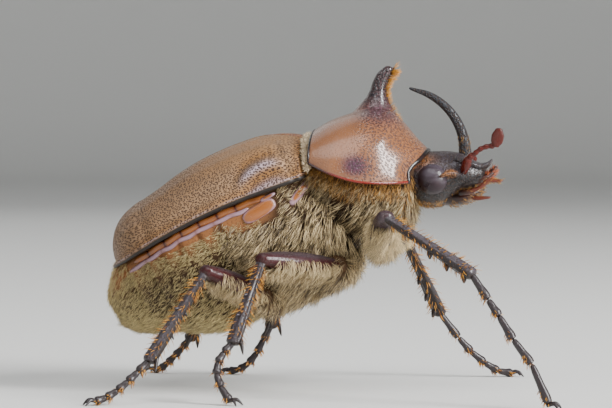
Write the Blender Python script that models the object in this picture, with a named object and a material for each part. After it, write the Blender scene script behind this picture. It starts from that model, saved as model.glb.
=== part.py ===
"""A rhinoceros beetle with an upright thorax horn, standing on six legs, life size.

The beetle faces +X with its left side at +Y, and its six feet rest on z = 0. The origin is on the
floor under the middle of its stance. Every size below is in millimetres; meshes are made in metres.
"""

import math
import random

import bmesh
import bpy
import numpy as np
from mathutils import Matrix, Vector

MM = 0.001
GAP = 0.3  # air between neighbouring pieces
FLOOR_CUT = 4.0  # depth of the block that gives the feet their flats
STANCE = Vector((-1.84, -0.04, 0.0))  # moves the sizes below so that the origin is under the stance
SIDES = (("right", -1.0), ("left", 1.0))

# The body bends at the waist: the wing cases tip nose up, the front of the thorax nose down.
HIND_ORIGIN = Vector((-1.3, 0.0, 23.55))
HIND_PITCH = math.radians(25.4)
FORE_ORIGIN = Vector((-0.3, 0.0, 24.9))
FORE_PITCH = math.radians(10.5)

# Wing case dome: place behind the shoulder, half width, height above its side margin.
WING_CASES = (
    (0.0, 8.9, 4.25),
    (1.3, 9.25, 5.25),
    (2.5, 9.55, 5.9),
    (5.3, 9.95, 6.48),
    (9.0, 10.25, 6.62),
    (13.0, 10.3, 6.25),
    (15.2, 10.1, 5.8),
    (16.6, 9.85, 5.56),
    (17.6, 9.4, 5.4),
)
WING_CASE_APEX = 5.5  # length of the rounded end behind the last row
WING_CASE_LEAN = 0.3  # how far the shoulders lean forward for each mm of height
LEAN_REACH = 6.0  # the lean fades out this far back
SUTURE = 0.15  # half the gap between the two wing cases
MARGIN_BOW = 0.72  # how far the side margin arches up halfway along
MARGIN_LENGTH = 21.0
MARGIN_FADE = 3.5  # height at which the arch has faded out

# Small plate between the wing cases: place, level, half width, height, depth.
SCUTELLUM = ((-0.6, 3.7, 1.9, 0.35, 0.9), (1.2, 5.0, 1.35, 0.35, 0.9), (2.8, 5.8, 0.45, 0.3, 0.9))

# Hind body under the wing cases: place, level of its widest line, half width, height, depth.
HIND_BODY = (
    (-3.0, -0.35, 4.4, 2.6, 6.8),
    (-1.5, -0.35, 6.3, 3.1, 9.7),
    (0.5, -0.35, 7.5, 3.9, 11.2),
    (2.5, -0.35, 8.3, 5.0, 11.4),
    (5.0, -0.35, 8.9, 5.5, 11.4),
    (9.0, -0.35, 9.4, 5.6, 11.2),
    (13.0, -0.35, 9.5, 5.4, 11.4),
    (17.0, -0.35, 8.8, 4.8, 10.5),
    (20.0, -0.4, 7.2, 3.6, 8.9),
    (22.2, -1.0, 6.0, 2.2, 7.4),
    (23.9, -2.2, 4.9, 1.7, 5.3),
    (25.0, -3.3, 3.6, 1.5, 3.1),
)
HIND_BODY_END = 0.6
HIND_SHELF = 0.5  # how much narrower the body is above its widest line
TRUNK_CHEST = 12.9  # length of the trunk's front piece, the hind thorax
TRUNK_BELLY = 24.6  # place where the abdomen ends and the tail plate starts

# Thorax shield: place ahead of its rear edge, level of its side margin, half width, height.
SHIELD = (
    (0.0, 0.2, 8.7, 3.6),
    (1.2, -0.2, 9.1, 5.3),
    (2.6, -0.5, 9.4, 6.6),
    (4.0, -0.7, 9.4, 7.5),
    (5.5, -0.78, 9.2, 8.1),
    (7.0, -0.65, 8.7, 8.0),
    (8.5, -0.4, 7.9, 6.7),
    (10.0, -0.1, 6.9, 4.85),
    (11.0, 0.1, 5.8, 3.75),
)
SHIELD_LIP = 0.45  # depth of the shield's side lip
SHIELD_LEAN = 0.22  # the front edge leans forward by this much for each mm of height
SHIELD_LEAN_START = 7.5
SHIELD_BACK_LEAN = 0.18  # the rear edge leans back by this much for each mm of height

# Front of the thorax inside the shield: place, level, half width, height, depth.
FORE_BODY = (
    (-0.3, 0.0, 7.4, 2.2, 4.2),
    (2.0, -0.5, 7.9, 4.6, 4.7),
    (5.0, -1.0, 7.8, 7.2, 5.0),
    (8.0, -0.7, 6.6, 6.1, 4.8),
    (10.2, -0.4, 5.3, 4.2, 4.3),
)

# Thorax horn, in the shield's frame: place, height, half length, half width.
THORAX_HORN = (
    (5.7, 5.0, 3.9, 3.7),
    (5.6, 6.2, 2.75, 2.75),
    (5.45, 7.2, 2.0, 1.9),
    (5.4, 7.9, 1.5, 1.45),
    (5.3, 8.9, 1.0, 1.1),
    (5.3, 10.1, 0.82, 0.9),
    (5.6, 11.2, 0.72, 0.78),
    (5.95, 11.75, 0.56, 0.6),
)
THORAX_HORN_TIP = 0.3
HORN_CUT = 7.75  # level of the cut between the shield and the horn's column

# Head, along x in the beetle's own frame: x, level, half width, height, depth.
HEAD = (
    (9.6, 23.3, 3.3, 1.6, 1.9),
    (11.0, 23.4, 4.0, 2.5, 2.8),
    (12.2, 23.4, 4.2, 2.9, 3.1),
    (13.4, 23.4, 4.1, 2.95, 3.0),
    (14.6, 23.5, 3.8, 2.8, 2.3),
    (15.8, 23.7, 3.4, 2.35, 1.7),
    (16.9, 23.8, 2.9, 1.6, 1.45),
    (17.9, 23.9, 2.2, 1.0, 1.15),
)
HEAD_END = 0.5
CLYPEUS = (
    (15.2, 25.5, 3.3, 0.4, 0.7),
    (16.6, 25.15, 3.1, 0.35, 0.6),
    (17.9, 24.75, 2.5, 0.3, 0.5),
    (18.6, 24.95, 1.9, 0.28, 0.4),
    (19.0, 25.35, 1.45, 0.22, 0.3),
)
EYE_CENTRE = (12.75, 3.35, 23.3)
EYE_RADII = (1.62, 1.52, 1.72)
CANTHUS = ((15.6, -3.3, 23.5), (14.8, -4.1, 24.0), (14.2, -4.5, 23.9), (13.7, -4.7, 23.65))
CANTHUS_RADII = (0.8, 0.62, 0.5, 0.35)
CANTHUS_FLATNESS = 0.5

HEAD_HORN_CENTRE = Vector((8.95, 0.0, 26.1))  # centre of the arc that the head horn follows
HEAD_HORN_ARC = 7.1
HEAD_HORN_START = math.radians(-11.0)
HEAD_HORN_SWEEP = math.radians(88.0)
HEAD_HORN_RADII = (0.85, 0.7, 0.6, 0.55, 0.51, 0.47, 0.42, 0.34, 0.2)  # root to near the tip
HEAD_HORN_TIP = 0.7

# Feelers: places down the stalk, then the club of three leaves. The left one is held outwards.
FEELERS = {
    "right": {
        "stalk": (
            (15.9, -2.7, 23.9),
            (16.35, -3.7, 24.9),
            (16.7, -4.3, 25.65),
            (17.3, -4.6, 26.1),
            (17.95, -4.8, 26.6),
            (18.6, -4.9, 26.85),
            (19.35, -5.0, 26.95),
        ),
        "club": ((19.55, -5.0, 26.75), (19.85, -5.0, 28.95)),
    },
    "left": {
        "stalk": (
            (15.9, 2.7, 23.9),
            (16.3, 4.0, 24.4),
            (16.6, 5.0, 24.9),
            (16.75, 5.8, 25.2),
            (16.8, 6.6, 25.4),
            (16.7, 7.4, 25.5),
            (16.5, 8.1, 25.5),
        ),
        "club": ((16.35, 8.3, 25.45), (15.75, 10.3, 25.6)),
    },
}
STALK_RADII = (0.42, 0.52, 0.42, 0.3, 0.3, 0.3, 0.34)
CLUB_WIDTH = 0.62
CLUB_LEAF = 0.2
CLUB_LEAVES = 3

# Mouth: jaws under the front plate, one long and one short palp on each side, and the lower lip.
JAW = ((15.8, 1.2, 23.5), (17.4, 1.5, 23.3), (18.7, 1.15, 23.7), (19.35, 0.75, 24.5))
JAW_RADII = (0.6, 0.6, 0.45, 0.28)
PALP = (
    (15.6, 2.1, 21.8),
    (16.6, 2.5, 21.95),
    (17.7, 2.7, 22.35),
    (18.6, 2.7, 23.1),
    (20.0, 2.6, 23.05),
)
PALP_RADII = (0.34, 0.32, 0.28, 0.3, 0.18)
LIP = ((13.9, 0.0, 21.2), (15.4, 0.0, 21.2), (16.9, 0.0, 21.7), (17.9, 0.0, 22.2))
LIP_WIDTHS = (2.0, 1.9, 1.5, 0.9)
LIP_DEPTHS = (0.9, 0.85, 0.7, 0.4)
LIP_PALP = ((16.2, 0.9, 21.4), (17.4, 1.15, 21.2), (18.7, 1.2, 21.25))
LIP_PALP_RADII = (0.3, 0.28, 0.18)

# Legs: root and end of the coxa, knee, ankle, the (x, z) of the bends of the foot down to its last
# joint, and the y of the first and last of those bends.
LEGS = {
    "front_right": {
        "coxa": ((5.9, -2.0, 18.4), (7.2, -4.8, 16.0)),
        "knee": (8.3, -13.0, 19.5),
        "ankle": (17.5, -17.0, 13.8),
        "foot": ((19.3, 11.1), (20.4, 9.5), (21.9, 7.1), (23.8, 4.6), (25.6, 0.5)),
        "foot_side": (-17.6, -19.2),
    },
    "front_left": {
        "coxa": ((5.9, 2.0, 18.4), (7.0, 4.8, 15.8)),
        "knee": (8.4, 11.6, 17.0),
        "ankle": (12.4, 16.0, 7.6),
        "foot": ((14.6, 4.6), (16.0, 3.0), (17.5, 1.7), (19.1, 0.7), (20.7, 0.42)),
        "foot_side": (16.7, 18.7),
    },
    "middle_right": {
        "coxa": ((2.6, -2.2, 13.2), (2.5, -6.2, 14.0)),
        "knee": (-4.7, -12.8, 15.0),
        "ankle": (-7.4, -16.0, 6.5),
        "foot": ((-8.3, 5.4), (-8.9, 4.4), (-9.0, 3.2), (-8.5, 1.9), (-7.5, 0.45)),
        "foot_side": (-16.4, -18.0),
    },
    "middle_left": {
        "coxa": ((2.6, 2.2, 13.2), (2.5, 6.2, 13.8)),
        "knee": (-4.4, 12.8, 14.6),
        "ankle": (-7.2, 16.4, 6.0),
        "foot": ((-8.2, 4.2), (-9.0, 2.7), (-10.0, 1.4), (-11.2, 0.6), (-12.4, 0.4)),
        "foot_side": (16.9, 18.5),
    },
    "hind_right": {
        "coxa": ((-5.0, -2.0, 9.8), (-5.6, -7.0, 10.9)),
        "knee": (-10.6, -13.2, 13.7),
        "ankle": (-16.1, -17.0, 4.6),
        "foot": ((-17.2, 3.4), (-18.2, 2.4), (-19.2, 1.5), (-20.3, 0.8), (-21.4, 0.42)),
        "foot_side": (-17.6, -19.4),
    },
    "hind_left": {
        "coxa": ((-5.0, 2.0, 9.8), (-5.6, 7.0, 10.7)),
        "knee": (-11.0, 13.2, 13.2),
        "ankle": (-16.8, 17.0, 4.4),
        "foot": ((-17.8, 3.2), (-18.8, 2.2), (-19.7, 1.3), (-20.6, 0.6), (-21.4, 0.4)),
        "foot_side": (17.7, 19.4),
    },
}
COXA_RADII = (1.7, 1.55, 1.25)
FEMUR_RADII = (0.95, 1.35, 1.5, 1.35, 0.95)
FEMUR_FLATNESS = 0.75
TIBIA_RADII = (0.62, 0.6, 0.66, 0.8, 0.86)
TIBIA_FLATNESS = 0.8
FOOT_WAIST = 0.34  # radius at the joints between foot segments
FOOT_SWELL = 0.5  # radius at the far end of each foot segment
CLAW_LENGTH = 1.35
CLAW_RADIUS = 0.26
CLAW_SPREAD = math.radians(32.0)
SPUR_LENGTH = 1.5
SPUR_RADIUS = 0.28
TOOTH_LENGTH = 0.6
TOOTH_RADIUS = 0.35

# Hair, as flat tapered locks that rise from the skin, bend over and follow its flow.
LOCK_THICKNESS = 0.55
LOCK_SINK = 0.7  # how deep a root sits in the skin
# Each stretch of a lock: how far it heads out and along, its share of the length and of the width.
LOCK_BENDS = ((0.7, 0.75, 0.34, 1.0), (0.26, 1.0, 0.34, 0.75), (0.0, 1.0, 0.32, 0.0))
SEED = 7
BACK = (-1.0, 0.0, -0.3)  # flow of the belly's hair
BACK_AND_DOWN = (-0.75, 0.0, -0.65)  # flow of the flanks' hair

# Patches of hair on the body: form, first and last place and rows along it, turns below the flank in
# degrees, length, width, and the legs whose room is kept free.
BODY_HAIR = {
    "prosternum": ("core", (2.0, 8.8, 4), (9, 25, 43, 63, 84), 3.0, 1.15, ("front", "middle")),
    "metasternum": ("trunk", (3.4, 10.6, 5), (13, 26, 40, 55, 71, 87), 3.2, 1.2, ("middle", "hind")),
}
HAIR_ROOM = 1.7  # depth of the hind thorax's hair, kept free of the hair in front of it
# Fringe under each thigh: first and last share of its length, locks, lock length and width.
THIGH_HAIR = {
    "front": (0.3, 0.85, 6, 2.9, 1.05),
    "middle": (0.4, 0.86, 6, 2.5, 1.0),
    "hind": (0.5, 0.84, 4, 2.0, 0.95),
}
HORN_HAIR = (3.7, 6.7, 6, 1.1, 0.75)  # first and last place up the thorax horn, locks, length, width
SHARP = math.radians(50.0)  # edges bent more than this stay sharp in the shading

# Colour, roughness and metallic value of each finish.
FINISHES = {
    "wing_case": ((0.42, 0.22, 0.085), 0.38, 0.0),
    "shield": ((0.45, 0.19, 0.075), 0.28, 0.0),
    "horn": ((0.035, 0.03, 0.035), 0.3, 0.0),
    "head": ((0.10, 0.07, 0.075), 0.35, 0.0),
    "eye": ((0.07, 0.035, 0.04), 0.15, 0.0),
    "feeler": ((0.30, 0.05, 0.02), 0.3, 0.0),
    "mouthpart": ((0.16, 0.045, 0.02), 0.4, 0.0),
    "hairy_skin": ((0.42, 0.33, 0.17), 0.7, 0.0),
    "leg": ((0.05, 0.035, 0.035), 0.35, 0.0),
}


def make_material(name, finish_name):
    """A piece's own material, with the colour, roughness and metallic value of its finish."""
    colour, roughness, metallic = FINISHES[finish_name]
    material = bpy.data.materials.new(name)
    material.use_nodes = True
    shader = material.node_tree.nodes["Principled BSDF"]
    shader.inputs["Base Color"].default_value = (*colour, 1.0)
    shader.inputs["Roughness"].default_value = roughness
    shader.inputs["Metallic"].default_value = metallic
    material.diffuse_color = (*colour, 1.0)
    return material


def spline_slopes(places, values, level_at_turns):
    """Slopes for a cubic through the values; level_at_turns keeps it from overshooting them."""
    steps = np.diff(places)[:, None]
    rises = np.diff(values, axis=0) / steps
    inner = (rises[:-1] * steps[1:] + rises[1:] * steps[:-1]) / (steps[1:] + steps[:-1])
    if level_at_turns:
        inner[rises[:-1] * rises[1:] <= 0] = 0.0
        most = 3.0 * np.minimum(abs(rises[:-1]), abs(rises[1:]))
        inner = np.clip(inner, -most, most)
    return np.vstack([rises[:1], inner, rises[-1:]])


class Loft:
    """A rounded form swept along a spine through rows of (x, y, z, half width, height, depth).

    With ahead set, every ring faces that way; without it, rings face along the spine. The ends are
    flat, or rounded over the lengths in dome. frame places the form, and warp bends it first.
    """

    DOME_STEPS = 2

    def __init__(
        self, rows, frame=None, ahead=None, up=(0, 0, 1), power=2.0, dome=(0, 0), shelf=0.0, warp=None
    ):
        self.rows = np.array(rows, float)
        self.frame = frame or Matrix.Identity(4)
        self.ahead = Vector(ahead).normalized() if ahead else None
        self.up = Vector(up)
        self.power = power
        self.dome = dome
        self.shelf = shelf
        self.warp = warp
        lengths = np.linalg.norm(np.diff(self.rows[:, :3], axis=0), axis=1)
        self.places = np.concatenate([[0.0], np.cumsum(lengths)])
        self.length = self.places[-1]
        self.slopes = np.hstack(
            [
                spline_slopes(self.places, self.rows[:, :3], False),
                spline_slopes(self.places, self.rows[:, 3:], True),
            ]
        )

    def sample(self, place):
        """The row of values at a distance along the spine."""
        place = min(max(place, 0.0), self.length)
        i = min(int(np.searchsorted(self.places, place, side="right")) - 1, len(self.rows) - 2)
        step = self.places[i + 1] - self.places[i]
        t = (place - self.places[i]) / step
        return (
            (2 * t**3 - 3 * t**2 + 1) * self.rows[i]
            + (t**3 - 2 * t**2 + t) * step * self.slopes[i]
            + (3 * t**2 - 2 * t**3) * self.rows[i + 1]
            + (t**3 - t**2) * step * self.slopes[i + 1]
        )

    def axes(self, place):
        """Forward, sideways and upward directions of the ring at a place."""
        if self.ahead:
            ahead = self.ahead
        else:
            reach = 0.01 * self.length
            ahead = Vector(self.sample(place + reach)[:3] - self.sample(place - reach)[:3]).normalized()
        side = self.up.cross(ahead).normalized()
        return ahead, side, ahead.cross(side)

    def point(self, place, angle, grow=0.0, scale=1.0, shift=0.0):
        """A point of the skin in mm: angle 0 is the left flank, a quarter turn the top."""
        values = self.sample(place)
        ahead, side, up = self.axes(place)
        across, rise = math.cos(angle), math.sin(angle)
        wide, high = values[3] + grow, (values[4] if rise > 0 else values[5]) + grow
        if rise > 1e-6:
            wide -= self.shelf
        bulge = 2.0 / self.power
        sideways = math.copysign(abs(across) ** bulge, across) * wide * scale
        upward = math.copysign(abs(rise) ** bulge, rise) * high * scale
        local = Vector(values[:3]) + ahead * shift + side * sideways + up * upward
        return self.frame @ (self.warp(local) if self.warp else local)

    def normal(self, place, angle):
        """The outward direction of the skin."""
        reach, turn = 0.02 * self.length, 0.05
        low, high = max(place - reach, 0.0), min(place + reach, self.length)
        along = self.point(high, angle) - self.point(low, angle)
        around = self.point(place, angle + turn) - self.point(place, angle - turn)
        across = around.cross(along).normalized()
        centre = self.frame @ Vector(self.sample(place)[:3])
        return across if across.dot(self.point(place, angle) - centre) > 0 else -across

    def rings_of(self, rings, sides, grow, span):
        """The points of each ring, with the rings of the rounded ends."""
        start, end = span or (0.0, self.length)
        angles = [2 * math.pi * (k + 0.5) / sides for k in range(sides)]
        places = [start + (end - start) * i / (rings - 1) for i in range(rings)]
        settings = [(place, 1.0, 0.0) for place in places]
        domes = (self.dome[0] if start == 0.0 else 0.0, self.dome[1] if end == self.length else 0.0)
        if domes[0]:
            settings = self.dome_settings(start, -domes[0] - grow)[::-1] + settings
        else:
            settings[0] = (start, 1.0, -grow)
        if domes[1]:
            settings += self.dome_settings(end, domes[1] + grow)
        else:
            settings[-1] = (end, 1.0, grow)
        return [[self.point(p, a, grow, scale, shift) for a in angles] for p, scale, shift in settings]

    def dome_settings(self, place, length):
        """Ring settings that round an end off over a signed length."""
        turns = [math.pi / 2 * (i + 1) / (self.DOME_STEPS + 0.6) for i in range(self.DOME_STEPS)]
        return [(place, math.cos(turn), length * math.sin(turn)) for turn in turns]

    def build(self, name, rings=12, sides=16, grow=0.0, span=None):
        """The closed mesh object of the form, grown outwards all round by grow."""
        mesh = bmesh.new()
        loops = [[mesh.verts.new(p * MM) for p in ring] for ring in self.rings_of(rings, sides, grow, span)]
        for near, far in zip(loops, loops[1:]):
            for k in range(sides):
                mesh.faces.new((near[k - 1], near[k], far[k], far[k - 1]))
        mesh.faces.new(loops[0])
        mesh.faces.new(loops[-1][::-1])
        return finish_mesh(mesh, name)


def finish_mesh(mesh, name):
    """Turns a bmesh into an object with its faces pointing out."""
    bmesh.ops.recalc_face_normals(mesh, faces=mesh.faces)
    if mesh.calc_volume(signed=True) < 0:
        bmesh.ops.reverse_faces(mesh, faces=mesh.faces)
    data = bpy.data.meshes.new(name)
    mesh.to_mesh(data)
    mesh.free()
    thing = bpy.data.objects.new(name, data)
    bpy.context.scene.collection.objects.link(thing)
    return thing


def hind_frame():
    """Places the hind body: its local x runs back along the wing cases, y left, z up from them."""
    back = Vector((-math.cos(HIND_PITCH), 0.0, -math.sin(HIND_PITCH)))
    up = Vector((-math.sin(HIND_PITCH), 0.0, math.cos(HIND_PITCH)))
    turn = Matrix((back, Vector((0, 1, 0)), up)).transposed().to_4x4()
    return Matrix.Translation(HIND_ORIGIN) @ turn


def fore_frame():
    """Places the front of the thorax: its local x runs forward, y left, z up."""
    return Matrix.Translation(FORE_ORIGIN) @ Matrix.Rotation(FORE_PITCH, 4, "Y")


def lean_shoulders(point):
    """Leans the front of the wing cases and of the body under them forward with height."""
    fade = max(0.0, 1.0 - max(point.x, 0.0) / LEAN_REACH)
    return Vector((point.x - WING_CASE_LEAN * max(point.z, 0.0) * fade**2, point.y, point.z))


def smooth_step(value, low, high):
    """Rises smoothly from 0 at low to 1 at high."""
    share = min(max((value - low) / (high - low), 0.0), 1.0)
    return share * share * (3.0 - 2.0 * share)


def arch_margin(point):
    """Leans the shoulders of the wing cases and arches their side margins."""
    moved = lean_shoulders(point)
    share = min(max(point.x / MARGIN_LENGTH, 0.0), 1.0)
    moved.z += MARGIN_BOW * math.sin(math.pi * share) * (1.0 - smooth_step(point.z, 0.0, MARGIN_FADE))
    return moved


def lean_shield(point):
    """Leans the shield's front edge forward and its rear edge back with height."""
    start, end = SHIELD_LEAN_START, SHIELD[-1][0]
    share = min(max((point.x - start) / (end - start), 0.0), 1.0)
    rear = max(1.0 - max(point.x, 0.0) / 3.0, 0.0)
    shift = SHIELD_LEAN * share**2 - SHIELD_BACK_LEAN * rear**2
    return Vector((point.x + shift * max(point.z, 0.0), point.y, point.z))


def body_rows(rows):
    """Loft rows from (place, level, half width, height, depth)."""
    return [(place, 0.0, level, wide, high, deep) for place, level, wide, high, deep in rows]


def tube_rows(points, radii, flatness=1.0):
    """Loft rows for a limb: its radii are spread evenly over its points."""
    spots = np.linspace(0, len(radii) - 1, len(points))
    sizes = np.interp(spots, range(len(radii)), radii)
    return [(*point, size, size * flatness, size * flatness) for point, size in zip(points, sizes)]


def spread(start, end, count):
    """Evenly spaced points from start to end."""
    return [Vector(start).lerp(Vector(end), i / (count - 1)) for i in range(count)]


def boolean(thing, operation, others, keep_all=False):
    """Joins or cuts a piece with closed mesh objects, applies it and removes them."""
    group = bpy.data.collections.new("operands")
    for other in others:
        group.objects.link(other)
    modifier = thing.modifiers.new(operation.title(), "BOOLEAN")
    modifier.operation = operation
    modifier.solver = "EXACT"
    modifier.operand_type = "COLLECTION"
    modifier.collection = group
    graph = bpy.context.evaluated_depsgraph_get()
    made = bpy.data.meshes.new_from_object(thing.evaluated_get(graph))
    thing.modifiers.clear()
    thing.data = made
    for other in others:
        bpy.data.objects.remove(other)
    bpy.data.collections.remove(group)
    if not keep_all:
        keep_largest(thing)
    return thing


def keep_largest(thing):
    """Leaves only the largest closed surface of a mesh."""
    mesh = bmesh.new()
    mesh.from_mesh(thing.data)
    bmesh.ops.remove_doubles(mesh, verts=mesh.verts, dist=1e-7)
    unseen, islands = set(mesh.verts), []
    while unseen:
        stack = [unseen.pop()]
        island = set(stack)
        while stack:
            vert = stack.pop()
            near = {edge.other_vert(vert) for edge in vert.link_edges} & unseen
            unseen -= near
            island |= near
            stack += near
        islands.append(island)
    keep = max(islands, key=len)
    bmesh.ops.delete(mesh, geom=[v for v in mesh.verts if v not in keep], context="VERTS")
    mesh.to_mesh(thing.data)
    mesh.free()


def carve(thing, *forms, sides=16, rings=12):
    """Cuts a piece clear of its neighbours by the gap."""
    cutters = [form.build("cutter", rings, sides, GAP) for form in forms]
    return boolean(thing, "DIFFERENCE", cutters)


def box(name, low, high):
    """A block between two corners, in mm."""
    mesh = bmesh.new()
    bmesh.ops.create_cube(mesh, size=1.0)
    low, high = Vector(low), Vector(high)
    size, centre = high - low, (high + low) / 2
    for vert in mesh.verts:
        vert.co = Vector(vert.co[i] * size[i] + centre[i] for i in range(3)) * MM
    return finish_mesh(mesh, name)


def lock(form, place, angle, lie, length, width, draw):
    """A flat tapered lock sunk into a form's skin, bending along its lie, drawn a little at random."""
    spot, outward = form.point(place, angle), form.normal(place, angle)
    flow = Vector(lie) + Vector([draw.uniform(-0.12, 0.12) for _ in range(3)])
    flow = (flow - outward * flow.dot(outward)).normalized()
    across = flow.cross(outward).normalized()
    length *= draw.uniform(0.85, 1.15)
    width *= draw.uniform(0.9, 1.1)
    spots = [spot - outward * LOCK_SINK]
    ways = []
    shares = [1.0]
    for out, along, step, share in LOCK_BENDS:
        way = (outward * out + flow * along).normalized()
        spot = spot + way * step * length
        spots.append(spot)
        ways.append(way)
        shares.append(share)
    ways.append(ways[-1])
    return lock_mesh(spots, ways, shares, across, width)


def lock_mesh(spots, ways, shares, across, width):
    """The three-sided skin of a lock round its bends, closed at the root and pointed at the tip."""
    mesh = bmesh.new()
    loops = []
    for centre, way, share in zip(spots[:-1], ways, shares):
        flat = across * width / 2 * share
        thick = across.cross(way).normalized() * LOCK_THICKNESS / 2 * (0.3 + 0.7 * share)
        corners = (flat - thick * 0.7, thick * 1.3, -flat - thick * 0.7)
        loops.append([mesh.verts.new((centre + corner) * MM) for corner in corners])
    point = mesh.verts.new(spots[-1] * MM)
    for near, far in zip(loops, loops[1:]):
        for k in range(3):
            mesh.faces.new((near[k - 1], near[k], far[k]))
            mesh.faces.new((near[k - 1], far[k], far[k - 1]))
    for k in range(3):
        mesh.faces.new((loops[-1][k - 1], loops[-1][k], point))
    mesh.faces.new(loops[0])
    return finish_mesh(mesh, "lock")


def body_locks(name, forms):
    """The locks of one piece of the body, in staggered rows on both sides, cut clear of the legs."""
    form_name, (start, end, rows), turns, length, width, legs = BODY_HAIR[name]
    form = forms[form_name]
    draw = random.Random(SEED + len(name))
    made = []
    for row in range(rows):
        for turn in turns:
            below = math.radians(min(turn + (5 if row % 2 else -5) + draw.uniform(-2, 2), 89))
            place = start + (end - start) * row / (rows - 1) + draw.uniform(-0.3, 0.3)
            lie = BACK if turn > 60 else BACK_AND_DOWN
            for angle in (-below, math.pi + below):
                made.append(lock(form, place, angle, lie, length, width, draw))
    hair = boolean(made[0], "UNION", made[1:], keep_all=True)
    rooms = [forms["shield"].build("room", 8, 16, GAP)]
    if name == "prosternum":
        rooms.append(forms["trunk"].build("room", 12, 20, HAIR_ROOM))
    for leg in LEGS:
        if leg.startswith(legs):
            rooms.append(forms["legs"][leg]["coxa"].build("room", 4, 10, GAP))
            rooms.append(forms["legs"][leg]["room"].build("room", 4, 10))
    return [boolean(hair, "DIFFERENCE", rooms, keep_all=True)]


def thigh_locks(name, form):
    """The fringe along the lower edge of a thigh."""
    start, end, count, length, width = THIGH_HAIR[name.split("_")[0]]
    draw = random.Random(SEED + len(name))
    made = []
    side = -1.0 if name.endswith("right") else 1.0
    for k in range(count):
        place = form.length * (start + (end - start) * k / (count - 1))
        angle = -math.pi / 2 + side * (0.5 if k % 2 else 0.1)
        made.append(lock(form, place, angle, (-0.5, side * 0.35, -0.9), length, width, draw))
    return made


def horn_locks(form):
    """The bristle fringe on the front of the thorax horn."""
    start, end, count, length, width = HORN_HAIR
    draw = random.Random(SEED)
    made = []
    for k in range(count):
        place = start + (end - start) * k / (count - 1)
        angle = -math.pi / 2 + (0.35 if k % 2 else -0.35)
        made.append(lock(form, place, angle, (0.6, 0.0, 1.0), length, width, draw))
    return made


def make_forms():
    """The lofts that more than one piece is cut by."""
    hind, fore = hind_frame(), fore_frame()
    trunk = Loft(
        body_rows(HIND_BODY), hind, (1, 0, 0), power=2.2, dome=(0, HIND_BODY_END), shelf=HIND_SHELF,
        warp=lean_shoulders,
    )
    wing_rows = [(place, 0.0, 0.0, wide, high, 0.02) for place, wide, high in WING_CASES]
    wings = Loft(wing_rows, hind, (1, 0, 0), power=2.25, dome=(0, WING_CASE_APEX), warp=arch_margin)
    wings.DOME_STEPS = trunk.DOME_STEPS = 4
    shield_rows = [(place, 0.0, level, wide, high, SHIELD_LIP) for place, level, wide, high in SHIELD]
    shield = Loft(shield_rows, fore, (1, 0, 0), power=2.1, warp=lean_shield)
    core = Loft(body_rows(FORE_BODY), fore, (1, 0, 0), power=2.1)
    horn_rows = [(place, 0.0, height, wide, long, long) for place, height, long, wide in THORAX_HORN]
    horn = Loft(horn_rows, fore, (0, 0, 1), up=(-1, 0, 0), dome=(0, THORAX_HORN_TIP))
    head_form = Loft(body_rows(HEAD), None, (1, 0, 0), power=2.2, dome=(0, HEAD_END))
    clypeus = Loft(body_rows(CLYPEUS), None, (1, 0, 0), power=2.6)
    scutellum = Loft(body_rows(SCUTELLUM), hind, (1, 0, 0), power=4.0, warp=lean_shoulders)
    made = {
        "trunk": trunk,
        "wings": wings,
        "shield": shield,
        "core": core,
        "horn": horn,
        "head": head_form,
        "clypeus": clypeus,
        "scutellum": scutellum,
        "head_horn": head_horn_form(),
        "legs": leg_forms(),
    }
    for name, side in SIDES:
        made[f"eye_{name}"] = eye_form(side)
        bar = tube_rows(mirrored(CANTHUS, -side), CANTHUS_RADII, CANTHUS_FLATNESS)
        made[f"canthus_{name}"] = Loft(bar, dome=(0, 0.2))
    return made


def head_horn_form():
    """The head horn: an arc that sweeps up from the brow and back towards the thorax horn."""
    count = len(HEAD_HORN_RADII)
    spots = []
    for i in range(count):
        turn = HEAD_HORN_START + HEAD_HORN_SWEEP * i / (count - 1)
        spots.append(HEAD_HORN_CENTRE + HEAD_HORN_ARC * Vector((math.cos(turn), 0, math.sin(turn))))
    return Loft(tube_rows(spots, HEAD_HORN_RADII), up=(0, 1, 0), dome=(0, HEAD_HORN_TIP))


def leg_forms():
    """The lofts of every leg: coxa, femur, tibia and foot."""
    made = {}
    for name, leg in LEGS.items():
        root, hip = leg["coxa"]
        knee, ankle = Vector(leg["knee"]), Vector(leg["ankle"])
        coxa = Loft(tube_rows(spread(root, hip, 3), COXA_RADII), dome=(0, 1.0))
        femur = Loft(tube_rows(spread(hip, knee, 5), FEMUR_RADII, FEMUR_FLATNESS), dome=(0.5, 0.7))
        tibia = Loft(tube_rows(spread(knee, ankle, 5), TIBIA_RADII, TIBIA_FLATNESS), dome=(0, 0.4))
        fringe = thigh_fringe(name)
        room = Loft([(*row[:3], row[3] + GAP, row[4] + GAP, row[4] + fringe) for row in femur.rows])
        made[name] = {"coxa": coxa, "femur": femur, "tibia": tibia, "foot": foot_form(leg), "room": room}
    return made


def thigh_fringe(name):
    """How far the room of a thigh's fringe reaches below the thigh."""
    return 0.75 * THIGH_HAIR[name.split("_")[0]][3] + GAP


def foot_form(leg):
    """The foot: five segments, each swelling towards its far end."""
    sides = np.linspace(*leg["foot_side"], len(leg["foot"]))
    bends = [Vector(leg["ankle"])] + [Vector((x, y, z)) for (x, z), y in zip(leg["foot"], sides)]
    rows = []
    for near, far in zip(bends, bends[1:]):
        rows.append((*near, FOOT_WAIST, FOOT_WAIST, FOOT_WAIST))
        swell = near.lerp(far, 0.78)
        rows.append((*swell, FOOT_SWELL, FOOT_SWELL, FOOT_SWELL))
    rows.append((*bends[-1], FOOT_WAIST, FOOT_WAIST, FOOT_WAIST))
    return Loft(rows, dome=(0, 0.2))


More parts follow.
